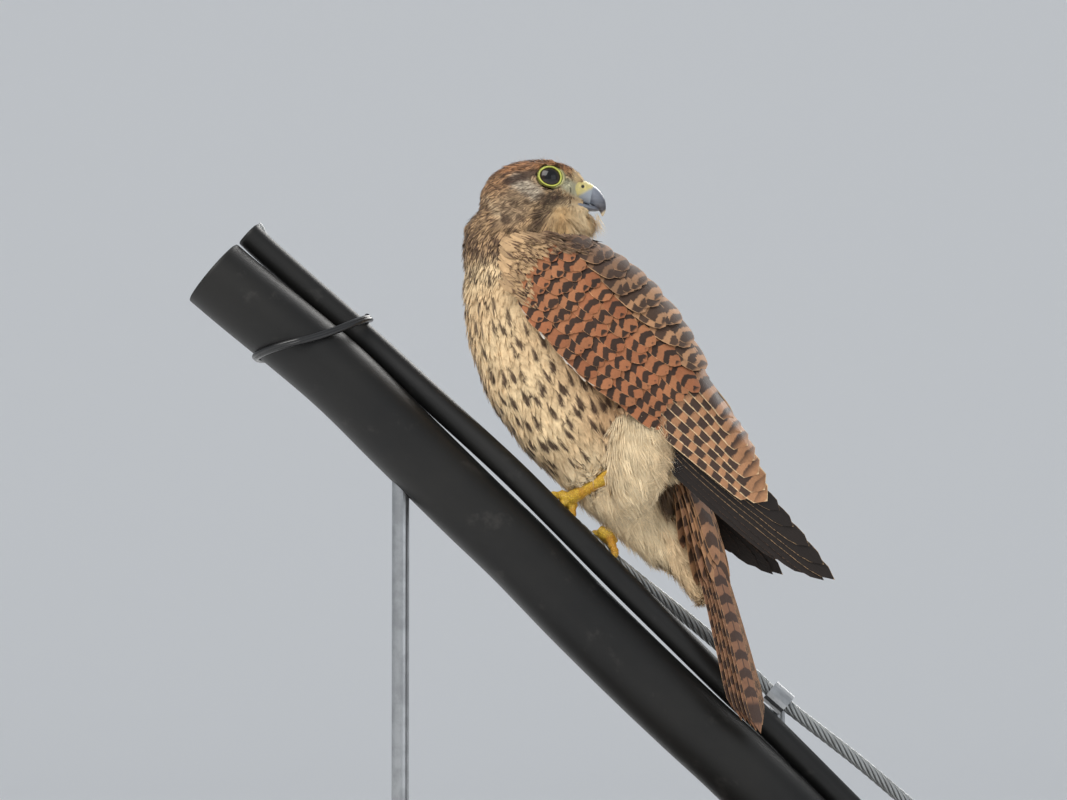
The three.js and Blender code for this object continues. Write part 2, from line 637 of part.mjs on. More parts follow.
function scapulars(wing) {
  const pieces = [wingSlab(wing, {
    sFrom: -10, sTo: 74, low: (s) => backEdge(s) * 0.76, high: (s) => backEdge(s) * 0.985, from: skin, to: armTop - 0.4,
    sSteps: 7, wSteps: 3,
  })];
  for (const [start, length, tipLow] of [[6, 32, 5.2], [26, 32, 5.4], [48, 36, 4.2]]) {
    for (let i = 0; i < 2; i++) {
      const across = mix(0.84, 0.93, i);
      const from = start + 2 * draw();
      const to = from + length - 4 * i;
      pieces.push(wingVane(wing, {
        from: [from, backEdge(from) * across], to: [to, backEdge(to) * across], width: 7.4,
        low: 3.1, tipLow, lift: 1.9, steps: 2,
      }));
    }
  }
  return pieces;
}

for (const [label, wing] of Object.entries(wings)) {
  const trimmed = (pieces) => join(pieces).subtract(frontGrown).subtract(thighGrown[label]);
  const arm = wingSlab(wing, {
    sFrom: -13, sTo: 78.4, low: (s) => bellyEdge(s) + 0.5, high: (s) => backEdge(s) * 0.74, from: skin, to: armTop,
    sSteps: 7, wSteps: 5,
  });
  show('wing_' + label + '_arm', trimmed([arm, ...coverts(wing)]), 0xa8633d);
  show('wing_' + label + '_secondaries', trimmed(secondaries(wing)), 0x9c5f3c);
  show('wing_' + label + '_primaries', trimmed(primaries(wing)), 0x1a1512);
  show('scapulars_' + label, trimmed(scapulars(wing)), 0x8c6a4c);
}

// Tail: the middle feather lies on top and the outer ones under it, each shorter than the last
const tailRoot = at(74, midY - 3, 243);
const tailTip = at(109.5, midY - 32, 112);
const tailAhead = tailTip.clone().sub(tailRoot).normalize();
const tailAcross = at(0.576, 0.8, 0.168);
tailAcross.addScaledVector(tailAhead, -tailAcross.dot(tailAhead)).normalize();
const tailUp = tailAhead.clone().cross(tailAcross).normalize();
if (tailUp.x < 0) tailUp.negate();
const tailLength = tailTip.distanceTo(tailRoot);
const tailSpread = 12.5;
const tailWidth = 9.6;
const tailStep = 0.95;
const tailSide = 4; // feathers on each side of the middle one
function tailVane(k) {
  const spread = k / tailSide;
  const steps = 4;
  const grid = [];
  const length = tailLength * (1 - 0.017 * Math.abs(k)) + 2 * draw();
  for (let i = 0; i <= steps; i++) {
    const t = i / steps;
    const out = spread * mix(3.5, tailSpread, t ** 0.8);
    const middle = tailRoot.clone().addScaledVector(tailAhead, -4 + (length + 4) * t)
      .addScaledVector(tailAcross, out)
      .addScaledVector(tailUp, -Math.abs(k) * tailStep + 2.2 * Math.sin(Math.PI * t) + 1.6);
    const wide = (tailWidth / 2) * (i === steps ? 0.68 : mix(0.55, 1, Math.min(1, t * 2.5)));
    const thickness = vaneThickness * (i === steps ? 0.7 : 1);
    grid.push([-1, 1].map((sign) => {
      const under = middle.clone().addScaledVector(tailAcross, sign * wide);
      return { under, over: under.clone().addScaledVector(tailUp, thickness) };
    }));
  }
  return sheet(grid);
}
const rumpWhole = limb(rumpStations, rumpShape);
const [tailStump, rump] = parted(rumpWhole, tailRoot, at(-tailAhead.x, -tailAhead.y, -tailAhead.z));
const tailPieces = [tailStump];
for (let k = -tailSide; k <= tailSide; k++) tailPieces.push(tailVane(k));
const tailBack = behind(tailRoot.clone().addScaledVector(tailAhead, gap / 2), tailAhead.clone().negate());
const tail = join(tailPieces).intersect(tailBack);

// Undertail coverts
const ventStations = [
  { at: [61, midY, 225], a: 10.5, b: 12 },
  { at: [67.5, midY - 3, 210], a: 10.5, b: 11 },
  { at: [75, midY - 8, 194], a: 7, b: 8 },
  { at: [82.5, midY - 13, 180], a: 2, b: 3 },
];
const vent = limb(ventStations, ventShape);

const thighs = {
  left: limb(thighStations.left, thighShape),
  right: limb(thighStations.right, thighShape),
};

// Legs and feet. Round the wire, angle 0 is its upper right side, 90 the side toward -Y and 180 underneath.
const footOf = {
  left: {
    ankle: [35, midY - 18.5, 247.5], wireAt: 0.412, palmAngle: 24,
    toes: [[-4, -11, 24, 162], [0, -1, 40, 172], [4, 11.3, 26, 162]], hallux: [0, 4.5, -25, -105],
  },
  right: {
    ankle: [46, midY + 10.5, 233], wireAt: 0.518, palmAngle: -4,
    toes: [[-3, -8.8, -15, -165], [-1, -3, -20, -170], [1, 3, -15, -160]], hallux: [3, 9.5, 20, 85],
  },
};
const clawBend = 52; // degrees round the wire
const clawSpace = 4.4; // degrees round the wire, for the gap
let legsGrown = null;
const palmReach = wireRadius + gap + 3.5;
for (const label of ['left', 'right']) {
  const foot = footOf[label];
  const centre = wirePath.getPoint(foot.wireAt);
  const alongWire = wirePath.getTangent(foot.wireAt);
  const near = at(0, -1, 0).addScaledVector(alongWire, alongWire.y).normalize();
  const upper = alongWire.clone().cross(near).normalize();
  if (upper.z < 0) upper.negate();
  const around = (along, angle, reach) => {
    const turn = THREE.MathUtils.degToRad(angle);
    return centre.clone().addScaledVector(alongWire, along)
      .addScaledVector(upper, Math.cos(turn) * reach).addScaledVector(near, Math.sin(turn) * reach);
  };
  const palm = around(0, foot.palmAngle, palmReach);
  const ankle = at(...foot.ankle);
  const down = palm.clone().sub(ankle);
  const split = 0.62;
  const wireGrown = bar(wirePath, wireRadius + gap, wireShape);
  const thinGrown = bar(thinPath, thinRadius + gap, thinShape);
  const onLeg = (t) => [...ankle.clone().addScaledVector(down, t)];
  const legStations = [
    { at: onLeg(-0.05), a: 3.7, b: 3.4 },
    { at: onLeg(0.12), a: 3.5, b: 3.3 },
    { at: onLeg(0.45), a: 3.1, b: 3.1 },
    { at: onLeg(0.75), a: 3.4, b: 3.4 },
    { at: onLeg(1), a: 3.9, b: 3.9 },
  ];
  const palmStations = [[-6, 1.8], [-2.8, 3.3], [2.8, 3.3], [6, 1.8]].map(([along, size]) => (
    { at: [...palm.clone().addScaledVector(alongWire, along)], a: size, b: size }));
  const [upperLeg, lowerLeg] = parted(limb(legStations, legShape), at(...onLeg(split)), down);
  let footBody = lowerLeg.add(limb(palmStations, palmShape));
  const toeList = [...foot.toes, foot.hallux];
  toeList.forEach(([start, end, from, to], number) => {
    const toePoints = [];
    const toeSteps = 5;
    for (let i = 0; i <= toeSteps; i++) {
      const t = i / toeSteps;
      const reach = wireRadius + gap + toeRadius + 0.15 + (i === 0 ? 0.9 : 0);
      const spread = mix(start, end, Math.min(1, t * 1.6));
      const thick = mix(1.05, 0.78, t) * toeRadius * (i % 2 ? 1 : 1.06);
      toePoints.push({ at: [...around(spread, mix(from, to, t), reach)], a: thick, b: thick });
    }
    footBody = footBody.add(limb(toePoints, { ...toeShape, across: alongWire }));
    const clawStart = to + Math.sign(to - from) * clawSpace;
    const clawEnd = clawStart + Math.sign(to - from) * clawBend;
    const clawPoints = [];
    for (let i = 0; i <= 3; i++) {
      const t = i / 3;
      const thick = [1.25, 1.0, 0.62, 0.16][i];
      const reach = wireRadius + gap + 1.4 + Math.sin(t * 2) * 0.7;
      clawPoints.push({ at: [...around(end, mix(clawStart, clawEnd, t), reach)], a: thick, b: thick * 0.8 });
    }
    const claw = limb(clawPoints, { ...clawShape, across: alongWire });
    show('claw_' + label + '_' + (number + 1), claw, 0x17130f, 0.3);
  });
  footBody = footBody.subtract(wireGrown).subtract(thinGrown);
  const room = limb(grown(legStations, gap + 0.2), legShape)
    .add(limb(grown(palmStations, gap + 0.4), palmShape));
  legsGrown = legsGrown ? legsGrown.add(room) : room;
  show('tarsus_' + label, upperLeg, 0xd6b22f, 0.55);
  show('foot_' + label, footBody, 0xd6b22f, 0.55);
  thighs[label] = thighs[label].subtract(limb(grown(legStations, gap), legShape));
}

let [lowerBody, headPart] = parted(upperBody, at(-9, headY, 371.6), at(0.16, 0, 1));
let [torsoPart, neckPart] = parted(lowerBody, at(-11, midY, 357.4), at(-0.19, 0, 1));
torsoPart = torsoPart.add(rump).subtract(thighGrown.left).subtract(thighGrown.right);
const ventGrown = limb(grown(ventStations, gap), ventShape);
torsoPart = torsoPart.subtract(ventGrown).subtract(legsGrown);
show('head', headPart, 0xa97c56);
show('neck', neckPart, 0xb99a72);
show('torso', torsoPart, 0xcdb48c);
show('tail', tail.subtract(ventGrown).subtract(torsoGrown), 0x8d5b43);
show('undertail_coverts', vent, 0xd9c6a2);
for (const label of ['left', 'right']) show('thigh_' + label, thighs[label], 0xd9c7a4);

export default root;
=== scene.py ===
import math
import bpy
import bmesh
import numpy as np
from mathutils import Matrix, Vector
from mathutils.bvhtree import BVHTree


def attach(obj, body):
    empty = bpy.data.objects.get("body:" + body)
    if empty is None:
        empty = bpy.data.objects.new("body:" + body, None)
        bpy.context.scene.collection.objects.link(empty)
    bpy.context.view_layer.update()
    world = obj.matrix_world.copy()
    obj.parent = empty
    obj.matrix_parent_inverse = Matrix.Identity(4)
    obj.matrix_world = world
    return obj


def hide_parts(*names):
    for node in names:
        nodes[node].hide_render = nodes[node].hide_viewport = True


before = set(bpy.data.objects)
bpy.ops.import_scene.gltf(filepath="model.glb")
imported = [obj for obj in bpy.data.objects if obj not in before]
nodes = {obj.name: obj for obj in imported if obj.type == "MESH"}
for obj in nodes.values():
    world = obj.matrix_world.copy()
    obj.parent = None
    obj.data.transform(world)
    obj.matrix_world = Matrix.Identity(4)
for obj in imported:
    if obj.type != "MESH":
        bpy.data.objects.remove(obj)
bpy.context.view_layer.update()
scene = bpy.context.scene
mm = 0.001
rng = np.random.default_rng(23)
gap = 0.3      # between neighbouring pieces
midY = 12.0   # the bird's middle plane
headY = 10.0  # the head's middle plane


# Numbers and curves, all in millimetres until a mesh is made

def vec(*xyz):
    return np.array(xyz, float)


def unit(v):
    v = np.asarray(v, float)
    return v / np.maximum(np.linalg.norm(v, axis=-1, keepdims=True), 1e-9)


def mix(a, b, t):
    return a + (b - a) * t


def ramp(x, low, high):
    t = np.clip((np.asarray(x, float) - low) / (high - low), 0, 1)
    return t * t * (3 - 2 * t)


def tone(r, g, b):  # screen colour to linear
    c = np.array([r, g, b], float) / 255
    return np.where(c <= 0.04045, c / 12.92, ((c + 0.055) / 1.055) ** 2.4)


def through(pairs):  # a smooth function through (x, value) pairs
    xs = np.array([p[0] for p in pairs], float)
    vs = np.array([p[1] for p in pairs], float)
    last = len(xs) - 1

    def value(x):
        x = np.asarray(x, float)
        i = np.clip(np.searchsorted(xs, x, side="left") - 1, 0, last - 1)
        before, after = np.maximum(i - 1, 0), np.minimum(i + 2, last)
        x0, x1, v0, v1 = xs[i], xs[i + 1], vs[i], vs[i + 1]
        t = np.clip((x - x0) / (x1 - x0), 0, 1)
        m0 = (v1 - vs[before]) / (x1 - xs[before]) * (x1 - x0)
        m1 = (vs[after] - v0) / (xs[after] - x0) * (x1 - x0)
        t2, t3 = t * t, t * t * t
        return ((2 * t3 - 3 * t2 + 1) * v0 + (t3 - 2 * t2 + t) * m0
                + (3 * t2 - 2 * t3) * v1 + (t3 - t2) * m1)
    return value


def spline(points, t):  # a uniform Catmull-Rom curve, t from 0 to 1
    p = np.asarray(points, float)
    full = np.vstack([2 * p[0] - p[1], p, 2 * p[-1] - p[-2]])
    x = np.clip(np.asarray(t, float), 0, 1) * (len(p) - 1)
    i = np.minimum(x.astype(int), len(p) - 2)
    f = (x - i)[..., None]
    a, b, c, d = full[i], full[i + 1], full[i + 2], full[i + 3]
    return 0.5 * (2 * b + (c - a) * f + (2 * a - 5 * b + 4 * c - d) * f ** 2
                  + (3 * b - a - 3 * c + d) * f ** 3)


def placed(name, data):
    obj = bpy.data.objects.new(name, data)
    scene.collection.objects.link(obj)
    return obj


def describe(data, attributes):  # numbers or vectors on the points of a mesh
    for key, values in attributes.items():
        values = np.asarray(values, np.float32)
        kind, field = ("FLOAT", "value") if values.ndim == 1 else ("FLOAT_VECTOR", "vector")
        data.attributes.new(key, kind, "POINT").data.foreach_set(field, values.ravel())


def meshFrom(name, points, faces, attributes=None, patch=None):  # all faces with as many corners
    data = bpy.data.meshes.new(name)
    faces = np.asarray(faces, np.int32)
    data.vertices.add(len(points))
    data.vertices.foreach_set("co", (np.asarray(points, float) * mm).astype(np.float32).ravel())
    sides = faces.shape[1]
    data.loops.add(faces.size)
    data.loops.foreach_set("vertex_index", faces.ravel())
    data.polygons.add(len(faces))
    data.polygons.foreach_set("loop_start", np.arange(0, faces.size, sides, dtype=np.int32))
    data.polygons.foreach_set("loop_total", np.full(len(faces), sides, np.int32))
    data.update(calc_edges=True)
    data.shade_smooth()
    describe(data, attributes or {})
    if patch is not None:
        flat = data.uv_layers.new(name="OFBake")
        flat.data.foreach_set("uv", np.asarray(patch, np.float32)[faces.ravel()].ravel())
    return placed(name, data)


def gridFaces(rows, columns, closed=False):
    wrap = columns if closed else columns - 1
    i, j = np.meshgrid(np.arange(rows - 1), np.arange(wrap), indexing="ij")
    a = i * columns + j
    b = i * columns + (j + 1) % columns
    return np.stack([a, b, b + columns, a + columns], -1).reshape(-1, 4)


def capped(points, rows, columns):  # a closed tube: rings plus a centre point at each end
    body = np.vstack([points, points[:columns].mean(0), points[-columns:].mean(0)])
    faces = gridFaces(rows, columns, True)
    j = np.arange(columns)
    k = (j + 1) % columns
    first, last = rows * columns, rows * columns + 1
    base = (rows - 1) * columns
    start = np.stack([np.full(columns, first), k, j, np.full(columns, first)], -1)
    end = np.stack([np.full(columns, last), base + j, base + k, np.full(columns, last)], -1)
    return body, faces, np.vstack([start, end])[:, :3]


def closedPiece(name, body, quads, triangles, attributes=None):
    data = bpy.data.meshes.new(name)
    data.from_pydata((body * mm).tolist(), [], quads.tolist() + triangles.tolist())
    describe(data, attributes or {})
    data.shade_smooth()
    return placed(name, data)


def alongLine(line, across=(0, 1, 0)):  # ahead, to the side and up at each point of a line
    across = np.asarray(across, float)
    ahead = unit(np.gradient(line, axis=0))
    wide = unit(across - ahead * (ahead @ across)[:, None])
    return ahead, wide, np.cross(wide, ahead)


def circle(sides):
    return np.linspace(0, 2 * np.pi, sides, endpoint=False)


def tube(centres, radii, sides=32, across=(0, 1, 0), twist=None, flat=1.0):
    centres = np.asarray(centres, float)
    wide, high = alongLine(centres, across)[1:]
    turn = 0 if twist is None else np.asarray(twist)[:, None]
    angle = circle(sides)[None, :] + turn
    r = np.asarray(radii, float)
    r = r[:, None] if r.ndim == 1 else r
    c, s = np.cos(angle)[..., None], np.sin(angle)[..., None]
    ring = (centres[:, None] + high[:, None] * c * r[..., None]
            + wide[:, None] * s * r[..., None] * flat)
    return capped(ring.reshape(-1, 3), len(centres), sides)


def girthOf(stations, t):  # middle line, half height and half width of a tapering body
    return (spline([s[0] for s in stations], t),
            spline([[s[1], s[2], 0] for s in stations], t)[:, :2])


def ovalRings(line, size, sides, power):
    wide, high = alongLine(line)[1:]
    angle = circle(sides)
    up = np.cos(angle)[None, :] * size[:, :1]
    out = (np.sign(np.sin(angle)) * np.abs(np.sin(angle)) ** power)[None, :] * size[:, 1:]
    ring = line[:, None] + high[:, None] * up[..., None] + wide[:, None] * out[..., None]
    return ring.reshape(-1, 3)


def remeshed(obj, voxel, rounds):  # one closed surface, smoothed
    remesh = obj.modifiers.new("remesh", "REMESH")
    remesh.mode, remesh.voxel_size = "VOXEL", voxel
    smooth = obj.modifiers.new("smooth", "SMOOTH")
    smooth.factor, smooth.iterations = 0.5, rounds
    done = bpy.data.meshes.new_from_object(obj.evaluated_get(bpy.context.evaluated_depsgraph_get()))
    obj.modifiers.clear()
    obj.data = done
    return done


def dress(obj, material, body="root", instead=()):
    obj.data.materials.clear()
    obj.data.materials.append(material)
    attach(obj, body)
    if instead:
        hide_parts(*instead)
    return obj


# Shader sockets as expressions

class Wire:
    def __init__(self, paint, socket):
        self.paint, self.socket = paint, socket

    def _maths(self, operation, *values):
        return self.paint.node("ShaderNodeMath", {"operation": operation}, list(values))

    def __add__(self, other):
        return self._maths("ADD", self, other)
    __radd__ = __add__

    def __sub__(self, other):
        return self._maths("SUBTRACT", self, other)

    def __rsub__(self, other):
        return self._maths("SUBTRACT", other, self)

    def __mul__(self, other):
        return self._maths("MULTIPLY", self, other)
    __rmul__ = __mul__

    def __abs__(self):
        return self._maths("ABSOLUTE", self)

    def sine(self):
        return self._maths("SINE", self)

    def most(self, other):
        return self._maths("MAXIMUM", self, other)

    def rise(self, low, high):  # 0 below low, 1 above high, smooth between
        return self.paint.node("ShaderNodeMapRange", {"interpolation_type": "SMOOTHSTEP"},
                               {"Value": self, "From Min": low, "From Max": high})


class Paint:
    def __init__(self, name, roughness=0.5, **fixed):
        self.material = bpy.data.materials.new(name)
        self.material.use_nodes = True
        self.tree = self.material.node_tree
        self.shader = self.tree.nodes["Principled BSDF"]
        self.shader.inputs["Roughness"].default_value = roughness
        for key, value in fixed.items():
            self.shader.inputs[key.replace("_", " ")].default_value = value

    def node(self, kind, settings=None, sockets=None, out=0):
        made = self.tree.nodes.new(kind)
        for key, value in (settings or {}).items():
            setattr(made, key, value)
        pairs = enumerate(sockets) if isinstance(sockets, list) else (sockets or {}).items()
        for key, value in pairs:
            self.feed(made.inputs[key], value)
        return Wire(self, made.outputs[out])

    def feed(self, socket, value):
        if isinstance(value, Wire):
            self.tree.links.new(value.socket, socket)
        elif socket.type == "RGBA" and len(value) == 3:
            socket.default_value = (*value, 1)
        else:
            socket.default_value = value

    def stored(self, name, out):  # what a mesh keeps on its points
        return self.node("ShaderNodeAttribute", {"attribute_name": name}, out=out)

    def number(self, name):
        return self.stored(name, "Fac")

    def colour(self, name):
        return self.stored(name, "Color")

    def parts(self, name):
        made = self.node("ShaderNodeSeparateXYZ", {}, [self.stored(name, "Vector")]).socket.node
        return [Wire(self, made.outputs[i]) for i in range(3)]

    def place(self):
        return self.node("ShaderNodeTexCoord", out="Object")

    def cloud(self, scale, detail=3.0, roughness=0.55, stretch=None):
        where = self.place()
        if stretch:
            where = self.node("ShaderNodeVectorMath", {"operation": "MULTIPLY"}, [where, stretch])
        return self.node("ShaderNodeTexNoise", {},
                         {"Vector": where, "Scale": scale, "Detail": detail, "Roughness": roughness})

    def blend(self, share, a, b, how="MIX"):
        made = self.tree.nodes.new("ShaderNodeMix")
        made.data_type, made.blend_type, made.clamp_factor = "RGBA", how, True
        self.feed(made.inputs[0], share)
        self.feed(made.inputs[6], a)
        self.feed(made.inputs[7], b)
        return Wire(self, made.outputs[2])

    def paintOn(self, colour=None, roughness=None, height=None, depth=0.1, strength=0.5):
        if colour is not None:
            self.feed(self.shader.inputs["Base Color"], colour)
        if roughness is not None:
            self.feed(self.shader.inputs["Roughness"], roughness)
        if height is not None:
            bump = self.node("ShaderNodeBump", {},
                             {"Height": height, "Distance": depth * mm, "Strength": strength})
            self.feed(self.shader.inputs["Normal"], bump)
        return self.material


# The camera and the light come first
view = {"aim": (-6, 0, 286.2), "away": 2500, "lowered": 3.5, "width": 555, "film": 36}
lens = bpy.data.cameras.new("camera")
lens.sensor_width = view["film"]
lens.lens = view["film"] * view["away"] / view["width"]
lens.clip_end = 60
camera = placed("camera", lens)
tip = math.radians(view["lowered"])
aim = Vector(view["aim"]) * mm
camera.location = aim + Vector((0, -math.cos(tip), -math.sin(tip))) * view["away"] * mm
camera.rotation_euler = (aim - camera.location).to_track_quat("-Z", "Y").to_euler()
scene.camera = camera

lamps = {
    "key": {"at": (-900, -1200, 1700), "size": 1500, "power": 38, "tint": (1, 0.975, 0.94)},
    "fill": {"at": (1500, -1500, 500), "size": 1600, "power": 6, "tint": (0.95, 0.98, 1)},
    "rim": {"at": (700, 1200, 1300), "size": 900, "power": 20, "tint": (1, 0.98, 0.95)},
}
for name, lamp in lamps.items():
    light = bpy.data.lights.new(name, "AREA")
    light.size, light.energy, light.color = lamp["size"] * mm, lamp["power"], lamp["tint"]
    holder = placed(name, light)
    holder.location = Vector(lamp["at"]) * mm
    holder.rotation_euler = (aim - holder.location).to_track_quat("-Z", "Y").to_euler()
world = bpy.data.worlds.new("studio")
world.use_nodes = True
sky = world.node_tree.nodes["Background"]
sky.inputs["Color"].default_value = (0.86, 0.9, 0.95, 1)
sky.inputs["Strength"].default_value = 0.6
scene.world = world
scene.view_settings.view_transform = "Standard"
print("camera and light")

# Finishes
tones = {
    "cream": tone(228, 202, 160), "buff": tone(200, 166, 124), "warm": tone(176, 132, 92),
    "pale": tone(232, 210, 172), "rufous": tone(146, 86, 55), "deepRufous": tone(118, 66, 42),
    "dark": tone(50, 37, 30), "black": tone(26, 22, 20), "brown": tone(104, 76, 54),
    "greyBuff": tone(142, 124, 102), "crown": tone(172, 124, 86), "white": tone(238, 234, 226),
    "rim": tone(206, 162, 118), "tail": tone(146, 104, 80), "streak": tone(66, 47, 36),
    "mantle": tone(84, 62, 48), "gold": tone(186, 146, 94), "flightBar": tone(58, 44, 38),
    "tailBar": tone(66, 50, 43), "tailCovertBar": tone(70, 52, 42),
    # on the head
    "brow": tone(182, 176, 162), "lore": tone(176, 170, 142), "forehead": tone(214, 186, 138),
    "browLine": tone(58, 42, 36), "underEye": tone(84, 66, 50), "malar": tone(40, 33, 30),
    "ears": tone(206, 184, 150), "fleck": tone(70, 50, 40),
}


def between(a, b, share):  # a tone between two of them
    return mix(tones[a], tones[b], share)


def evenly(colour, n):  # the same colour n times
    return np.tile(tones[colour] if isinstance(colour, str) else colour, (n, 1))


def layer(base, colour, share):
    colour = tones[colour] if isinstance(colour, str) else colour
    return base * (1 - share[:, None]) + colour[None, :] * share[:, None]


def plumagePaint():
    paint = Paint("plumage", 0.74, Specular_IOR_Level=0.25, Sheen_Weight=0.1, Sheen_Roughness=0.5)
    across, along, chance = paint.parts("lie")
    streak, bars, fringe = paint.parts("mark")
    duty, slant, phase = paint.parts("bar")
    ground, spot, rim = paint.colour("ground"), paint.colour("spot"), paint.colour("rimTone")
    side = abs(across)
    wander = paint.cloud(700, 3.0) - 0.5
    blotch = paint.cloud(210, 2.0) - 0.5
    swell = along.rise(0.30, 0.80) * (1 - along.rise(0.93, 1.02))  # a drop, widest near the tip
    half = streak * swell
    drop = (1 - (side + wander * 0.35).rise(half * 0.55, half * 1.05 + 0.08)) * streak.rise(0.02, 0.06)
    quill = (1 - side.rise(0.05, 0.13)) * (0 - streak).rise(0.01, 0.05) * 0.8
    wave = ((along * bars + side * slant + phase + wander * 0.20 + blotch * 0.22) * (2 * math.pi)).sine()
    band = ((wave + duty - side * side * 0.3).rise(-0.22, 0.34) * bars.rise(0.05, 0.2)
            * (1 - along.rise(0.91, 0.975)))
    endBand = along.rise(0.875, 0.90) * (1 - along.rise(0.955, 0.97)) * bars.rise(12, 13)
    mark = drop.most(band).most(endBand).most(quill)
    edge = side.most((along - 0.84) * 6.2)
    seam = (edge + wander * 0.16).rise(1.0 - fringe * 1.2, 1.02 - fringe * 0.4) * fringe.rise(0.005, 0.02)
    barbs = (along * 150.0 - side * 42.0 + chance * 9.0).sine()
    colour = paint.blend(mark * 0.96, ground, spot)
    colour = paint.blend(seam * 0.9, colour, rim)
    shade = 0.88 + chance * 0.2 + wander * 0.42 + blotch * 0.28 + barbs * 0.03
    tint = paint.node("ShaderNodeCombineColor", {}, [shade, shade, shade])
    colour = paint.blend(1.0, colour, tint, "MULTIPLY")
    height = barbs * 0.5 + (1 - side.rise(0.0, 0.08)) * 1.2
    return paint.paintOn(colour, height=height, depth=0.12, strength=0.35)


plumage = plumagePaint()


def glossyPlumage():  # flight feathers, smoother and a little shinier
    made = plumage.copy()
    made.name = "flightPlumage"
    shader = made.node_tree.nodes["Principled BSDF"]
    shader.inputs["Roughness"].default_value = 0.5
    shader.inputs["Sheen Weight"].default_value = 0.0
    return made


flight = glossyPlumage()


def legPaint():
    paint = Paint("legSkin", 0.4)
    plates = paint.node("ShaderNodeTexVoronoi", {"feature": "DISTANCE_TO_EDGE"},
                        {"Vector": paint.place(), "Scale": 980.0})
    groove = plates.rise(0.0, 0.2)
    cloud = paint.cloud(120, 3)
    colour = paint.blend(cloud.rise(0.4, 0.68), tone(228, 190, 64), tone(204, 148, 40))
    colour = paint.blend((1 - groove) * 0.6, colour, tone(150, 98, 26))
    return paint.paintOn(colour, height=groove, depth=0.3, strength=0.6)


def billPaint():
    paint = Paint("billHorn", 0.3)
    tipness = paint.number("tipness")
    cloud = paint.cloud(220, 3, stretch=(1, 1, 2.2))
    colour = paint.blend(tipness.rise(0.0, 0.55), tone(138, 143, 152), tone(98, 102, 112))
    colour = paint.blend(tipness.rise(0.5, 0.85), colour, tone(62, 58, 62))
    colour = paint.blend(tipness.rise(0.90, 0.97), colour, tone(206, 186, 152))
    colour = paint.blend(cloud.rise(0.4, 0.7) * 0.18, colour, tone(156, 160, 168))
    return paint.paintOn(colour, height=cloud, depth=0.1, strength=0.2)


def skinPaint(name, main, second, shadeColour, far):
    paint = Paint(name, 0.42)
    paintedShade, outer = paint.number("paintedShade"), paint.number("outer")
    cloud = paint.cloud(600, 3)
    colour = paint.blend(cloud.rise(0.35, 0.65), main, second)
    colour = paint.blend(outer, colour, far)
    # painted shade in creases and openings, as far as the mesh's number asks
    colour = paint.blend(paintedShade, colour, shadeColour)
    return paint.paintOn(colour, height=cloud, depth=0.08, strength=0.35)


def eyePaint():
    paint = Paint("eyeDark", 0.16, Coat_Weight=0.25, Coat_Roughness=0.1, Specular_IOR_Level=0.3)
    ring = paint.number("iris")
    return paint.paintOn(paint.blend(ring.rise(0.55, 0.7), tone(6, 6, 7), tone(34, 22, 16)))


def cablePaint():
    paint = Paint("cableSheath", 0.42, Specular_IOR_Level=0.32)
    cloud = paint.cloud(9, 5, 0.6)
    fine = paint.cloud(240, 3, 0.6)
    scuff = paint.cloud(60, 4, 0.7).rise(0.58, 0.76)
    colour = paint.blend(cloud.rise(0.35, 0.7), tone(14, 14, 14), tone(25, 24, 22))
    colour = paint.blend(scuff * 0.3, colour, tone(66, 63, 60))
    return paint.paintOn(colour, 0.36 + cloud * 0.2 + fine * 0.08, fine, 0.06, 0.4)


def strandPaint():
    paint = Paint("strandSteel", 0.42, Metallic=0.85)
    groove = paint.number("groove")
    cloud = paint.cloud(90, 4)
    # painted shade: near black in the grooves between the strands
    colour = paint.blend(groove, tone(150, 152, 152), tone(30, 30, 31))
    colour = paint.blend(cloud.rise(0.5, 0.8) * 0.4, colour, tone(88, 84, 78))
    return paint.paintOn(colour, 0.34 + cloud * 0.25)


def plainPaint(name, colour, second, roughness, scale=60, metallic=0.0, stretch=None):
    paint = Paint(name, roughness, Metallic=metallic)
    cloud = paint.cloud(scale, 4, stretch=stretch)
    colour = paint.blend(cloud.rise(0.35, 0.65), colour, second)
    return paint.paintOn(colour, roughness - 0.06 + cloud * 0.12, cloud, 0.05, 0.15)


legSkin, billHorn, eyeDark = legPaint(), billPaint(), eyePaint()
cableSheath, strandSteel = cablePaint(), strandPaint()
cereSkin = skinPaint("cereSkin", tone(200, 184, 116), tone(184, 172, 116),
                     shadeColour=tone(26, 20, 14), far=tone(140, 146, 154))
lidSkin = skinPaint("lidSkin", tone(196, 198, 92), tone(170, 174, 78),
                    shadeColour=tone(26, 24, 18), far=tone(150, 142, 104))
clawHorn = plainPaint("clawHorn", tone(22, 20, 19), tone(40, 36, 33), 0.3)
tieGloss = plainPaint("tieGloss", tone(14, 14, 15), tone(24, 24, 25), 0.28)
standWood = plainPaint("standWood", tone(50, 42, 36), tone(64, 54, 46), 0.48, 40, stretch=(0.25, 4, 4))
standSteel = plainPaint("standSteel", tone(170, 172, 174), tone(150, 152, 154), 0.32, 120, 0.9)
floorPaint = Paint("floor", 0.85, Base_Color=(0.88, 0.885, 0.89, 1)).material
print("finishes")

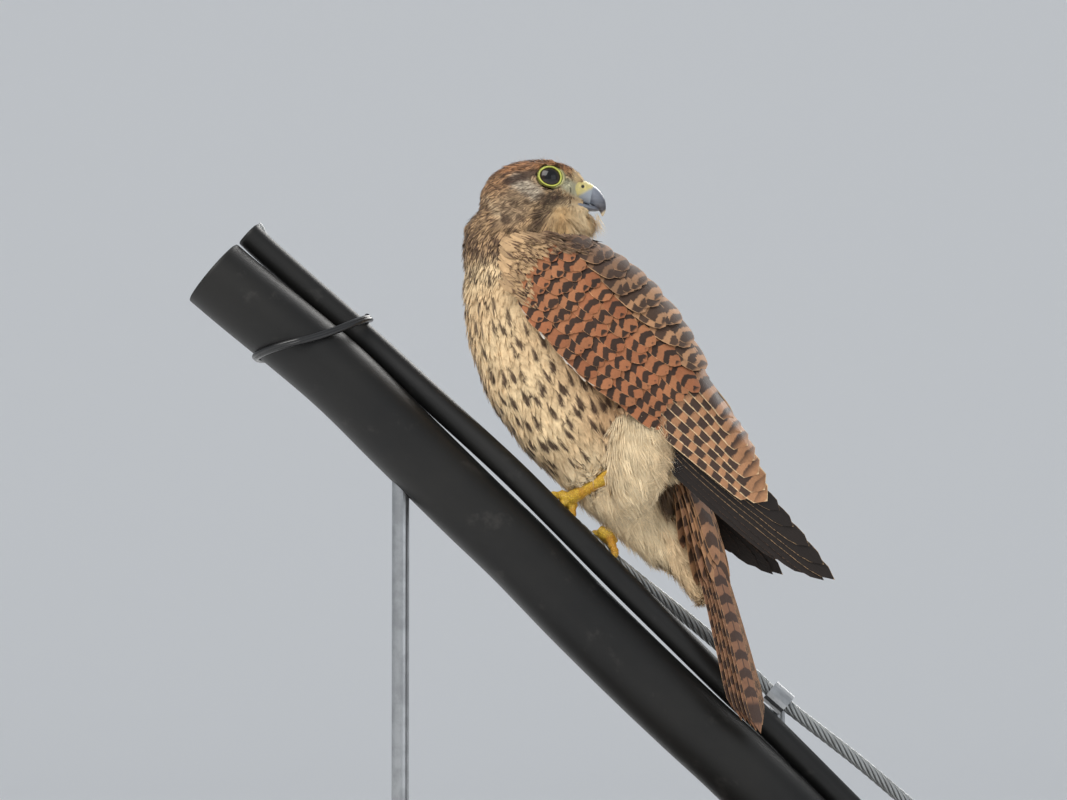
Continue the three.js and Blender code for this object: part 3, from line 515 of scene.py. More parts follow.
# Perch: cables, stranded wire and tie
paths = {
    "thick": [(-173, 0, 353), (-158, 0, 340.3), (-109.7, 0, 300.3), (-74.6, 0, 266),
              (-38.5, 0, 230.6), (-13, 0, 206.2), (17.2, 0, 175), (48.9, 0, 143.8),
              (75.4, 0, 118.8), (102.4, 0, 93.8), (157, 0, 40)],
    "thin": [(-155.5, 9, 374), (-141.4, 9.5, 360.8), (-93.1, 10.5, 318.5), (-56.7, 5, 285.2),
             (-19.5, -1, 250.9), (5.7, -4, 225.7), (36.3, -4, 194.7), (68.3, -1, 163.2),
             (94.6, 4.5, 137.4), (121.2, 8, 112), (175, 8, 58)],
    "wire": [(-152, 20.5, 379), (-140, 21, 362), (-92, 21.5, 320), (-55, 17, 287.3),
             (-16.8, 13, 253.6), (8.4, 11, 228.5), (24.5, 11, 213.6), (40.8, 11.5, 199.4),
             (70.2, 14, 176), (105.6, 17, 146.4), (124.8, 17, 128.7), (162.8, 17, 99), (190, 17, 76)],
}
radii = {"thick": 19.2, "thin": 6.9, "wire": 3.4}
strand = {"steps": 900, "sides": 84, "strands": 7, "lay": 32.0, "groove": 0.24}


def roundedEnds(t, radius, length, edge=1.2):  # a small chamfer at a cable's cut ends
    away = np.minimum(t, 1 - t) * length
    return radius - np.maximum(0, edge - away) * 0.8


def cableRun(name, key, node):
    t = np.concatenate([[0, 0.002], np.linspace(0.006, 0.994, 150), [0.998, 1]])
    centres = spline(paths[key], t)
    length = np.linalg.norm(np.diff(centres, axis=0), axis=1).sum()
    piece = closedPiece(name, *tube(centres, roundedEnds(t, radii[key], length), sides=72))
    dress(piece, cableSheath, instead=[node])


cableRun("thickCable", "thick", "cable_thick")
cableRun("thinCable", "thin", "cable_thin")


def strandedWire():
    t = np.linspace(0, 1, strand["steps"])
    centres = spline(paths["wire"], t)
    run = np.concatenate([[0], np.cumsum(np.linalg.norm(np.diff(centres, axis=0), axis=1))])
    count = strand["strands"]
    lobe = np.abs(np.cos(circle(strand["sides"]) * count / 2))  # 1 on a crown, 0 in a groove
    shape = 1 - strand["groove"] * (1 - lobe ** 0.55)
    body = tube(centres, np.full((len(t), 1), radii["wire"]) * shape[None, :], sides=strand["sides"],
                twist=run / strand["lay"] * 2 * np.pi)
    # how deep in a groove between strands each point lies, which the paint turns into painted shade
    groove = np.concatenate([np.tile((1 - lobe ** 0.4) ** 1.3, len(t)), [0, 0]])
    piece = closedPiece("strandedWire", *body, {"groove": groove})
    dress(piece, strandSteel, instead=["messenger_wire"])


strandedWire()


def cableTie():
    centre, turnAlong, turnUp = vec(-126, 0, 314), vec(0.7, 0, -0.71), vec(0.71, 0, 0.7)
    thickness, turns, sides, loose = 1.45, 2, 14, 2.5
    t = np.linspace(0, turns * 2 * np.pi, 340)
    up, side = np.cos(t), np.sin(t)
    reach = radii["thick"] + loose
    high = np.where(up > 0, reach + 13.5 * np.abs(up) ** 1.4, reach)
    drift = (t / (turns * 2 * np.pi) - 0.5) * 2.6  # the second turn lies beside the first
    line = centre + turnUp * (up * high)[:, None] + turnAlong * (13 * up + 2 * side + drift)[:, None]
    line[:, 1] = side * (reach + 0.4) + np.where(up > 0, 5.5 * up, 0)
    outward = line - centre
    ahead = unit(np.gradient(line, axis=0))
    outward = unit(outward - ahead * (outward * ahead).sum(1)[:, None])
    wide = np.cross(outward, ahead)
    angle = circle(sides)
    ring = (line[:, None] + outward[:, None] * (np.cos(angle) * thickness)[None, :, None]
            + wide[:, None] * (np.sin(angle) * thickness)[None, :, None])
    piece = closedPiece("cableTieTurns", *capped(ring.reshape(-1, 3), len(line), sides))
    dress(piece, tieGloss, instead=["cable_tie"])


cableTie()
standFinish = {"stand_base": standWood, "stand_rod_left": standSteel, "stand_rod_right": standSteel}
for name, finish in standFinish.items():
    nodes[name].data.materials.clear()
    nodes[name].data.materials.append(finish)
print("perch and stand")

# The skin: one smooth surface inside the solids of head, neck, body and thighs
flesh = ["head", "neck", "torso", "thigh_left", "thigh_right", "undertail_coverts"]
skinSize = {"voxel": 0.95, "smooth": 5, "bodyDepth": 1.6, "headDepth": 0.9, "faceDepth": 0.45,
            "beardDepth": 3.0, "thighDepth": 2.4}


def worldTree(obj):
    points = np.zeros(len(obj.data.vertices) * 3)
    obj.data.vertices.foreach_get("co", points)
    return BVHTree.FromPolygons([Vector(p) for p in (points.reshape(-1, 3) / mm).tolist()],
                                [tuple(p.vertices) for p in obj.data.polygons])


fleshTrees = {n: worldTree(nodes[n]) for n in flesh}


def nearestFlesh(points):
    found = []
    for p in points:
        v = Vector(p)
        found.append(min(range(len(flesh)), key=lambda i: fleshTrees[flesh[i]].find_nearest(v)[3]))
    return np.array(found)


def makeSkin():
    joined = bmesh.new()
    for name in flesh:
        joined.from_mesh(nodes[name].data)
    for v in joined.verts:
        v.co *= 1 / mm
    data = bpy.data.meshes.new("skin")
    joined.to_mesh(data)
    joined.free()
    obj = placed("skin", data)
    done = remeshed(obj, skinSize["voxel"], skinSize["smooth"])
    count = len(done.vertices)
    points, normals = np.zeros(count * 3), np.zeros(count * 3)
    done.vertices.foreach_get("co", points)
    done.vertices.foreach_get("normal", normals)
    points, normals = points.reshape(-1, 3), normals.reshape(-1, 3)
    region = nearestFlesh(points)
    depth = np.full(count, skinSize["bodyDepth"])
    depth[region >= 3] = skinSize["thighDepth"]
    face = ramp(points[:, 0], -22, 2) * ramp(points[:, 2], 366, 374)
    depth = np.where(region == 0, mix(skinSize["headDepth"], skinSize["faceDepth"], face), depth)
    beard = ramp(points[:, 0], 12, 26) * (1 - ramp(points[:, 2], 383, 388)) * (region == 0)
    depth = mix(depth, skinSize["beardDepth"], beard)
    points = points - normals * depth[:, None]
    x, across = points[:, 0], points[:, 1] - headY  # pinched in behind the bill, so that the cere shows
    base = ramp(points[:, 2], 385.5, 389) * (1 - ramp(points[:, 2], 400.6, 403.4)) * (region == 0)
    limit = np.interp(x, [9, 13, 15.5, 18, 24], [30, 11, 7.0, 4.6, 2.5])
    points[:, 1] = headY + mix(across, np.clip(across, -limit, limit), base)
    points[:, 0] = mix(x, np.minimum(x, 20.0), base)
    return obj, points, region


skin, skinPoints, skinRegion = makeSkin()
skinFaces = [tuple(p.vertices) for p in skin.data.polygons]
skinTree = BVHTree.FromPolygons([Vector(p) for p in skinPoints.tolist()], skinFaces)
print("skin", len(skinFaces), "faces")


# Markings, by place: the same for the skin and for each feather on it
def nearLine(p, a, b, width):  # 1 on a line drawn on the side of the head, fading out over width
    a, b = vec(*a), vec(*b)
    q = p[:, [0, 2]]
    t = np.clip(((q - a) @ (b - a)) / ((b - a) @ (b - a)), 0, 1)
    away = np.linalg.norm(q - (a + (b - a) * t[:, None]), axis=1)
    return 1 - ramp(away, width * 0.35, width)


axisPoint = vec(10.1, midY, 304.7)  # the body's own axis
axisAhead, axisBack = unit(vec(0.43, 0, -0.90)), unit(vec(0.90, 0, 0.43))


def markings(p, region):
    n = len(p)
    height = p[:, 2]
    back = (p - axisPoint) @ axisBack
    run = (p - axisPoint) @ axisAhead
    sideways = p[:, 1] - midY
    aroundBody = np.arctan2(sideways, -back + 4) * 34  # millimetres from the breastbone
    ground = evenly("cream", n)
    patchy = np.sin(p[:, 0] * 0.21 + p[:, 1] * 0.17) * np.sin(height * 0.13 + p[:, 1] * 0.11)
    ground = layer(ground, "buff", np.clip(0.30 + 0.25 * patchy, 0, 1))
    flank = ramp(np.abs(aroundBody), 34, 60) * ramp(run, -46, -20)
    ground = layer(ground, "warm", 0.65 * flank)
    # painted shade: the breast and belly on the far side, away from the camera, are made warmer and darker
    farSideShade = ramp(sideways, 6, 22) * ramp(-back, 8, 22)
    ground = layer(ground, "warm", 0.6 * farSideShade)
    spot = evenly("streak", n)
    belly = ramp(run, 40, 62)
    ground = layer(ground, "pale", belly)
    thick = mix(1.05, 1.5, ramp(run, -45, 25)) * (1 - 0.9 * belly) + 0.3 * flank
    dropShare = (drops(aroundBody, run, thick, 5.0, 13.5) * mix(0.86, 0.95, ramp(run, -45, 10))
                 * (region < 3))
    ground = ground * (1 - dropShare[:, None]) + spot * dropShare[:, None]
    streak = np.zeros(n)
    mantle = ramp(back, 14, 24) * (1 - ramp(run, 70, 84))
    ground = layer(ground, between("rufous", "mantle", 0.3), mantle)
    rump = ramp(back, 6, 14) * ramp(run, 44, 58)
    ground = layer(ground, "greyBuff", 0.6 * rump)
    grain = np.full(n, 0.07) + 0.12 * flank + 0.12 * mantle
    bars = 2.2 * (mantle > 0.5)
    soft = (region >= 3) | (run > 60)
    ground[soft] = tones["pale"] * 0.96
    ground = layer(ground, "buff", 0.5 * (region >= 3) * ramp(p[:, 0], 50, 70))
    streak[soft], bars[soft], grain[soft] = 0.0, 0.0, 0.17
    # head and neck
    x = p[:, 0]
    neck = ramp(height, 350, 364)
    nape = ramp(-x, 2, 22)
    head = layer(evenly("buff", n), tones["brown"], 0.34 * nape + 0.10)
    top = ramp(height, 403, 407.5) * (1 - ramp(x, 13, 21))
    head = layer(head, "crown", np.clip(top + 0.5 * nape * ramp(height, 390, 400), 0, 1))
    cheek = nearLine(p, (-8, 397), (-18, 385), 13)
    head = layer(head, "greyBuff", 0.55 * cheek)
    head = layer(head, "brow", 0.55 * nearLine(p, (-15, 400.5), (-5, 393.5), 6.0))
    throat = ramp(x, -2, 8) * (1 - ramp(height, 387, 392.5))
    head = layer(head, "cream", throat)
    head = layer(head, "gold", 0.75 * throat * (1 - ramp(x, 9, 21)) * (1 - ramp(height, 384, 390)))
    lore = nearLine(p, (9, 399.5), (19, 395.5), 5.5) * ramp(x, 6, 10)
    head = layer(head, "lore", lore)
    forehead = ramp(x, 12, 17) * ramp(height, 399.5, 403)
    head = layer(head, "forehead", forehead * 0.9)
    head = layer(head, "browLine", 0.85 * nearLine(p, (-5, 404.8), (-20, 399.8), 3.4))
    head = layer(head, "underEye", 0.6 * nearLine(p, (-2, 391.2), (9, 390), 4.2))
    malar = np.maximum(nearLine(p, (4.5, 392.2), (-1.5, 383), 5.6),
                       nearLine(p, (-1.5, 383), (-7, 371.5), 5.2))
    broken = 0.8 + 0.2 * np.sin(x * 2.1 + height * 1.3) * np.sin(height * 1.7 - x * 0.9)
    head = layer(head, "malar", 0.88 * malar * broken)
    ears = nearLine(p, (-31, 392), (-24, 381.5), 2.2)
    head = layer(head, "ears", 0.4 * ears)
    around = np.arctan2(p[:, 1] - headY, height - 390) * 19
    fromBill = np.hypot(x - 21, height - 394)
    fine = (drops(around, fromBill, 0.62 + 0.25 * nape, 2.6, 7.5) * (1 - throat) * (1 - lore)
            * (1 - 0.6 * forehead))
    head = layer(head, "fleck", 0.85 * fine * (1 - 0.25 * cheek))
    headStreak = (mix(0.16, 0.30, nape) * (1 - throat) * (1 - forehead * 0.7) * (1 - 0.5 * cheek)
                  * (1 - lore))
    headGrain = mix(0.34, 0.42, cheek) * (1 - 0.75 * throat) * (1 - 0.6 * forehead) + 0.35 * malar
    ground = ground * (1 - neck[:, None]) + head * neck[:, None]
    streak = streak * (1 - neck) + headStreak * neck
    grain = grain * (1 - neck) + headGrain * neck
    return {"ground": ground, "spot": spot, "streak": streak, "grain": grain,
            "bars": bars * (1 - neck), "mantle": mantle * (1 - neck)}


def chanceOf(x):  # a fixed random number for each whole x
    return np.modf(np.abs(np.sin(x * 12.9898 + 4.1) * 43758.5453))[0]


def drops(across, along, half, apart, period):  # long dark drops in wandering lines
    lane = np.floor(across / apart)
    x = across - (lane + 0.5) * apart + 0.9 * np.sin(along * 0.15 + lane * 2.4)
    place = along / period + chanceOf(lane)
    number = np.floor(place)
    y = place - number
    size = 0.65 + 0.7 * chanceOf(lane * 3.7 + number * 9.2)
    width = half * size * ramp(y, 0.05, 0.62) * (1 - ramp(y, 0.72, 0.88))
    there = chanceOf(lane * 7.3 + number * 3.1) > 0.2
    return there * (width > 0.05) * (1 - ramp(np.abs(x), width * 0.7, width * 1.1 + 0.2))


def layOut(values):  # onto 0 to 1, leaving a thin margin
    low, high = values.min(), values.max()
    return 0.012 + 0.976 * (values - low) / max(high - low, 1e-6)


def patchesOf(p):
    return np.stack([layOut(p[:, 0]), layOut(p[:, 1])], 1)


def unwrap(p):  # round the body's own axis, which bends at the neck
    bend = ramp(p[:, 2], 350, 372)[:, None]
    axis = axisPoint + axisAhead * ((p - axisPoint) @ axisAhead)[:, None]
    headAxis = np.stack([np.full(len(p), -8.0), np.full(len(p), headY), p[:, 2]], 1)
    middle = axis * (1 - bend) + headAxis * bend
    out = p - middle
    forward = unit(mix(axisBack[None, :], vec(1, 0, 0)[None, :], bend))
    angle = np.arctan2(out[:, 1], (out * forward).sum(1))
    return patchesOf(np.stack([angle, p[:, 2]], 1))


def bareLook(ground, spot, rim):  # what the plumage paint reads where no feather is
    n = len(ground)
    return {"lie": np.tile((0.4, 0.3, 0.4), (n, 1)), "mark": np.zeros((n, 3)), "bar": np.zeros((n, 3)),
            "ground": ground, "spot": spot, "rimTone": rim}


def finishSkin():
    marks = markings(skinPoints, skinRegion)
    # painted shade under the coat: the markings' ground, pulled towards dark on the mantle and the head's
    # streaks, then times 0.85
    shadeUnderCoat = np.clip(marks["streak"] * 0.5 + 0.25 * marks["mantle"], 0, 0.6)
    shade = layer(marks["ground"], "dark", shadeUnderCoat) * 0.85
    skin.data.vertices.foreach_set("co", (skinPoints * mm).astype(np.float32).ravel())
    describe(skin.data, bareLook(shade, marks["spot"], marks["ground"]))
    skin.data.update()
    skin.data.shade_smooth()
    dress(skin, plumage, instead=flesh)


finishSkin()


# Feathers. Each coat is one mesh of many small vanes, bent along the skin.
def softShape(strands=9, split=0.55, narrow=0.55):  # a vane whose end comes apart in strands
    rows = np.array([0, split * 0.5, split])
    columns = np.linspace(-1, 1, 3)
    width = np.interp(rows, [0, split], [0.3, 0.95])
    v, c = np.meshgrid(rows, columns, indexing="ij")
    across, paint, along = [(c * width[:, None]).ravel()], [c.ravel()], [v.ravel()]
    owner, faces, start = [np.full(v.size, -1)], [gridFaces(3, 3)], v.size
    steps = np.array([0.0, 0.45, 0.8, 1.0])
    for j in range(strands):
        middle = mix(-0.9, 0.9, j / (strands - 1))
        half = 1.25 / strands * np.array([1.0, 0.85, 0.5, 0.06])
        reach = 1 - 0.30 * middle ** 2
        line = mix(middle * 0.95, middle * narrow, steps ** 1.5)
        across.append(np.stack([line - half, line + half], 1).ravel())
        paint.append(np.repeat(np.full(4, middle * 0.94), 2))
        along.append(np.repeat(split + (reach - split) * steps, 2))
        owner.append(np.full(8, j))
        faces.append(gridFaces(4, 2) + start)
        start += 8
    return {"across": np.concatenate(across), "paint": np.concatenate(paint),
            "along": np.concatenate(along), "owner": np.concatenate(owner), "faces": np.vstack(faces),
            "strands": strands, "split": split, "ragged": 0.09}


def plumeShape(strands, rows, spread, fine):  # a vane of separate strands
    rows = np.array(rows)
    across, paint, along, faces, owner = [], [], [], [], []
    for j in range(strands):
        middle = mix(-1, 1, j / (strands - 1))
        half = fine * (1 - rows) ** 0.7 + 0.012
        reach = 1 - 0.22 * abs(middle) - 0.10 * (j % 2)
        for k, v in enumerate(rows):
            centre = middle * mix(0.25, spread, v ** 0.8)
            across += [centre - half[k], centre + half[k]]
            paint += [middle * 0.9 - 0.08, middle * 0.9 + 0.08]
            along += [v * reach, v * reach]
        owner += [j] * len(rows) * 2
        faces.append(gridFaces(len(rows), 2) + j * len(rows) * 2)
    return {"across": np.array(across), "paint": np.array(paint), "along": np.array(along),
            "owner": np.array(owner), "faces": np.vstack(faces), "strands": strands, "split": 0.2,
            "ragged": 0.12}


blade, hair = softShape(), softShape(7, 0.45, 0.7)
plume = plumeShape(9, (0, 0.35, 0.7, 1.0), 1.0, 0.2)
fluff = plumeShape(9, (0, 0.3, 0.6, 0.85, 1.0), 1.3, 0.2)
wisp = plumeShape(6, (0, 0.5, 1.0), 1.6, 0.1)
steps = 4  # stretches of a feather's centre line


def walkOver(tree, starts, heads, lengths):  # centre lines that keep to a surface
    lines, normals = np.zeros((2, len(starts), steps + 1, 3))
    for i, (start, head, length) in enumerate(zip(starts, heads, lengths)):
        point, normal = tree.find_nearest(Vector(start))[:2]
        ahead = Vector(head)
        for k in range(steps + 1):
            lines[i, k], normals[i, k] = point, normal
            ahead = (ahead - normal * ahead.dot(normal)).normalized()
            if k < steps:
                point, normal = tree.find_nearest(point + ahead * (length / steps))[:2]
    return lines, normals


def featherMesh(name, shape, lines, normals, size, look, patch, region=None):
    n = len(lines)
    count = len(shape["along"])
    loose = np.clip((shape["along"] - shape["split"]) / (1 - shape["split"]), 0, 1) * (shape["owner"] >= 0)
    strand = np.maximum(shape["owner"], 0)
    reachOf = rng.uniform(-1, 0.5, (n, shape["strands"]))[:, strand] * shape["ragged"] * loose
    swayOf = rng.normal(0, 0.07, (n, shape["strands"]))[:, strand] * loose
    riseOf = rng.normal(0, 0.16, (n, shape["strands"]))[:, strand] * loose
    along = np.clip(shape["along"][None, :] + reachOf, 0, 1.05)
    x = np.clip(along, 0, 1) * steps
    i = np.minimum(x.astype(int), steps - 1)
    f = (x - i)[..., None]
    rows = np.arange(n)[:, None]
    centre = lines[rows, i] * (1 - f) + lines[rows, i + 1] * f
    up = unit(normals[rows, i] * (1 - f) + normals[rows, i + 1] * f)
    ahead = unit(lines[:, -1] - lines[:, 0])[:, None, :]
    side = unit(np.cross(up, np.broadcast_to(ahead, up.shape)))
    a = shape["across"][None, :] + swayOf
    lift = size["lift"][:, None] * (along ** 1.25 + riseOf)
    droop = size["cup"][:, None] * a ** 2 * size["width"][:, None] * 0.5
    curl = size["curl"][:, None] * along ** 2
    sideways = a * size["width"][:, None] * 0.5 + size["bend"][:, None] * along ** 2
    upward = size["sink"][:, None] * (1 - along) + lift - droop + curl
    points = centre + side * sideways[..., None] + up * upward[..., None]
    faces = (shape["faces"][None] + (np.arange(n) * count)[:, None, None]).reshape(-1, 4)
    chance = np.repeat(rng.random(n), count)
    ground = np.repeat(look["ground"], count, axis=0)
    if region is not None:  # the body's markings, taken for each strand of each feather
        strandJog = rng.normal(0, 0.7, (n, shape["strands"] + 1))[:, shape["owner"]]
        where = (points + ahead * strandJog[..., None]).reshape(-1, 3)
        ground = markings(where, np.repeat(region, count))["ground"] * ground
    attributes = {
        "lie": np.stack([np.tile(shape["paint"], n), along.ravel(), chance], 1),
        "mark": np.repeat(np.stack([look["streak"], look["bars"], look["fringe"]], 1), count, axis=0),
        "bar": np.repeat(np.stack([look["duty"], look["slant"], look["phase"]], 1), count, axis=0),
        "ground": ground,
        "spot": np.repeat(look["spot"], count, axis=0),
        "rimTone": np.repeat(look["rim"], count, axis=0),
    }
    patchSize, margin = 0.0014, 0.002
    local = np.stack([np.clip(np.tile(shape["paint"], n), -1, 1),
                      np.clip(along.ravel(), 0, 1) * 2 - 1], 1)
    uv = np.repeat(patchesOf(patch), count, axis=0) + local * patchSize
    piece = meshFrom(name, points.reshape(-1, 3), faces, attributes, np.clip(uv, margin, 1 - margin))
    dress(piece, plumage)
    print(name, n, "feathers", len(faces) * 2, "triangles")


def forEach(n, usual, given):  # a value for each of n feathers
    return {key: np.full(n, float(value)) if np.ndim(value) == 0 else value
            for key, value in {**usual, **given}.items()}


def lookOf(n, **given):
    usual = {"streak": 0, "bars": 0, "fringe": 0, "duty": 0, "slant": 0, "phase": 0}
    return forEach(n, usual, given)


def sizeOf(n, **given):
    return forEach(n, {"lift": 0, "sink": 0, "cup": 0}, given)


def scatter(points, faces, weight, spacing):  # seeds spread evenly over the skin, spacing by place
    corners = points[faces]
    area = np.linalg.norm(np.cross(corners[:, 1] - corners[:, 0], corners[:, 2] - corners[:, 0]), axis=1)
    share = area * weight
    share = share / share.sum()
    want = int(min(90000, 7.0 * (area * (weight > 0) / spacing ** 2).sum()))
    pick = rng.choice(len(faces), want, p=share)
    r1, r2 = np.sqrt(rng.random(want)), rng.random(want)
    c = corners[pick]
    seeds = (c[:, 0] * (1 - r1)[:, None] + c[:, 1] * (r1 * (1 - r2))[:, None]
             + c[:, 2] * (r1 * r2)[:, None])
    kept, grid, cell = [], {}, float(spacing[weight > 0].max())
    beside = [(dx, dy, dz) for dx in (-1, 0, 1) for dy in (-1, 0, 1) for dz in (-1, 0, 1)]
    for k, (seed, near) in enumerate(zip(seeds.tolist(), spacing[pick].tolist())):
        x, y, z = seed
        i, j, m = (int(v // cell) for v in seed)
        close = any((x - a) ** 2 + (y - b) ** 2 + (z - c) ** 2 < near * near
                    for dx, dy, dz in beside for a, b, c in grid.get((i + dx, j + dy, m + dz), ()))
        if not close:
            grid.setdefault((i, j, m), []).append(seed)
            kept.append(k)
    return seeds[kept], pick[kept]


eye = {"radius": 7.2, "inset": 9.2, "x": 1.7, "z": 402.0, "gaze": (0.2, 0.12), "bare": 6.35, "squash": 0.84}


def eyeAt(side):
    forward, upward = eye["gaze"]
    return (vec(eye["x"], headY + side * eye["inset"], eye["z"]),
            unit(vec(forward, side, upward)))


def lidAxis(gaze):  # upward over the eye
    over = vec(0.25, 0, 1)
    return unit(over - gaze * (over @ gaze))


def lieAt(p, region):  # the way feathers lie
    billRoot = vec(21, headY, 393)
    fromBill = unit(p - billRoot)
    down = unit(vec(-0.12, 0, -1))
    along = np.tile(axisAhead, (len(p), 1))
    spread = np.zeros_like(p)
    spread[:, 1] = (p[:, 1] - midY) * 0.004
    chest = ramp(p[:, 2], 330, 356)[:, None]
    body = unit(along * (1 - chest) + down * chest + spread)
    headShare = ramp(p[:, 2], 366, 382)[:, None]
    lie = body * (1 - headShare) + unit(fromBill + vec(0, 0, -0.35)) * headShare
    beard = (ramp(p[:, 0], 0, 14) * (1 - ramp(p[:, 2], 384, 390)) * ramp(p[:, 2], 362, 370))[:, None]
    lie = unit(mix(lie, unit(vec(0.42, 0, -0.92)), beard))
    for k, side in ((3, -1), (4, 1)):  # thighs: down, the hind ones fanning back over the wing
        fan = ramp(p[:, 0], 48, 66) * ramp(p[:, 2], 236, 262)
        thighLie = mix(vec(0.30, 0.1 * side, -0.94), vec(0.95, 0.1 * side, 0.05), fan[:, None])
        lie = np.where((region == k)[:, None], unit(thighLie), lie)
    lie[region == 5] = unit(vec(0.55, -0.2, -0.84))
    for side in (-1, 1):  # round the eyes
        centre, gaze = eyeAt(side)
        rel = p - centre
        rel = rel - gaze * (rel @ gaze)[:, None]
        away = np.linalg.norm(rel, axis=1)
        outward = rel / np.maximum(away, 1e-6)[:, None]
        near = (1 - ramp(away, 9.5, 14)) * ((p[:, 1] - headY) * side > 0) * (p[:, 2] > 385)
        inward = np.minimum((lie * outward).sum(1), 0) * near
        lie = lie - outward * inward[:, None] + outward * (0.25 * near)[:, None]
    return unit(lie)


faceArray = np.array([f if len(f) == 4 else (*f, f[-1]) for f in skinFaces])
triArray = np.vstack([faceArray[:, [0, 1, 2]], faceArray[:, [0, 2, 3]]])
triMiddle = skinPoints[triArray].mean(1)
triRegion = skinRegion[triArray[:, 0]]


# The wing's surface: s along from the wrist, w across, h outwards
wrist, alongX, alongZ = (-9.9, 330.4), 0.76, -0.65
sideReach = through([(-20, 31), (0, 34.2), (40, 35.4), (80, 33.5), (110, 28), (150, 20), (185, 14),
                     (215, 10)])
backEdge = through([(-20, 42), (0, 47.5), (23, 51), (42, 50.5), (61, 46.5), (81, 40), (96, 32.5),
                    (110, 28), (128, 24.5), (151, 19.5), (190, 12.5), (215, 8)])
bellyEdge = through([(-20, 8), (-12, 4), (0, 0), (19, -3), (33, -5.5), (48, -6), (68, -3), (110, -6),
                     (150, -9), (190, -6), (215, -3)])
wings = {"left": {"side": -1, "scale": 1.0, "tilt": 0.0}, "right": {"side": 1, "scale": 0.9, "tilt": 4.4}}


def wingPoint(wing, s, w, h):
    s, w = np.asarray(s, float), np.asarray(w, float)

    def flat(ss, ww):
        top = backEdge(ss) + 1.5
        start = np.minimum(12, top * 0.45)
        over = np.clip((ww - start) / (top - start), 0, 1)
        lap = np.where(ww > start, np.sqrt(np.maximum(0, 1 - over ** 2.2)), 1)
        reach = sideReach(ss) * (0.12 + 0.88 * lap)
        turn = math.radians(wing["tilt"])
        a = (ss * math.cos(turn) + ww * math.sin(turn)) * wing["scale"]
        c = (ww * math.cos(turn) - ss * math.sin(turn)) * wing["scale"]
        return np.stack([wrist[0] + a * alongX - c * alongZ, midY + wing["side"] * reach,
                         wrist[1] + a * alongZ + c * alongX], -1)
    step = 0.6
    ds = flat(s + step, w) - flat(s - step, w)
    dw = flat(s, w + step) - flat(s, w - step)
    normal = unit(np.cross(ds, dw))
    normal = normal * np.where(normal[..., 1:2] * wing["side"] < 0, -1, 1)
    return flat(s, w) + normal * np.asarray(h, float)[..., None]


def onWing(p, side):  # where a point of the body lies under a folded wing
    wing = wings["left" if side < 0 else "right"]
    turn = math.radians(wing["tilt"])
    dx, dz = (p[:, 0] - wrist[0]), (p[:, 2] - wrist[1])
    a = (dx * alongX + dz * alongZ) / wing["scale"]
    c = (-dx * alongZ + dz * alongX) / wing["scale"]
    return a * math.cos(turn) - c * math.sin(turn), a * math.sin(turn) + c * math.cos(turn)


def hiddenByWing(p):
    hidden = np.zeros(len(p), bool)
    for side in (-1, 1):
        s, w = onWing(p, side)
        hidden |= ((s > -4) & (s < 84) & (w > bellyEdge(s) + 7) & (w < backEdge(s) * 0.9)
                   & ((p[:, 1] - midY) * side > 12))
    return hidden


tracts = {  # spacing, length, width, lift, sink, cup
    "face": (1.2, 5.0, 1.9, 0.75, -0.3, 0.14),
    "crown": (1.35, 7.0, 2.3, 0.95, -0.35, 0.16),
    "nape": (1.7, 9.5, 3.1, 1.25, -0.45, 0.18),
    "neck": (1.95, 12.5, 4.2, 1.5, -0.5, 0.18),
    "breast": (2.25, 15.5, 5.8, 1.6, -0.6, 0.2),
    "mantle": (2.6, 20, 8.5, 5.0, -0.6, 0.22),
    "thigh": (2.0, 18.5, 4.6, 3.4, -0.9, 0.15),
    "throat": (1.25, 11.5, 2.7, 3.4, -0.3, 0.1),
}


def tractOf(p, region):
    names = np.array(list(tracts))
    kind = np.full(len(p), "breast", dtype=names.dtype)
    height, x = p[:, 2], p[:, 0]
    back = (p - axisPoint) @ axisBack
    run = (p - axisPoint) @ axisAhead
    kind[height > 346] = "neck"
    kind[(height > 362)] = "nape"
    kind[(back > 18) & (height < 352) & (run < 60)] = "mantle"
    kind[region >= 3] = "thigh"
    kind[(run > 52) & (region == 2)] = "thigh"
    head = height > 374
    kind[head & (height > 396)] = "crown"
    kind[head & (x > -20) & (height <= 403)] = "face"
    kind[(x > 11) & (height > 388)] = "face"
    kind[(x > -1) & (height <= 386) & (height > 366)] = "throat"
    return kind


def keepOff(p):  # bare places: eyes, bill and what the wings hide
    off = hiddenByWing(p)
    for side in (-1, 1):
        centre, gaze = eyeAt(side)
        rel = p - centre
        along = rel @ gaze
        upward = lidAxis(gaze)
        flat = rel - gaze * along[:, None]
        flat = flat + upward * (flat @ upward)[:, None] * (1 / eye["squash"] - 1)
        off |= (np.linalg.norm(flat, axis=1) < eye["bare"]) & (along > -2)
    off |= (p[:, 0] > 15.0) & (p[:, 2] > 388.5) & (p[:, 2] < 401.5 - 0.35 * np.maximum(0, 20 - p[:, 0]))
    off |= (p[:, 0] > 20.5) & (p[:, 2] > 384.8)
    return off


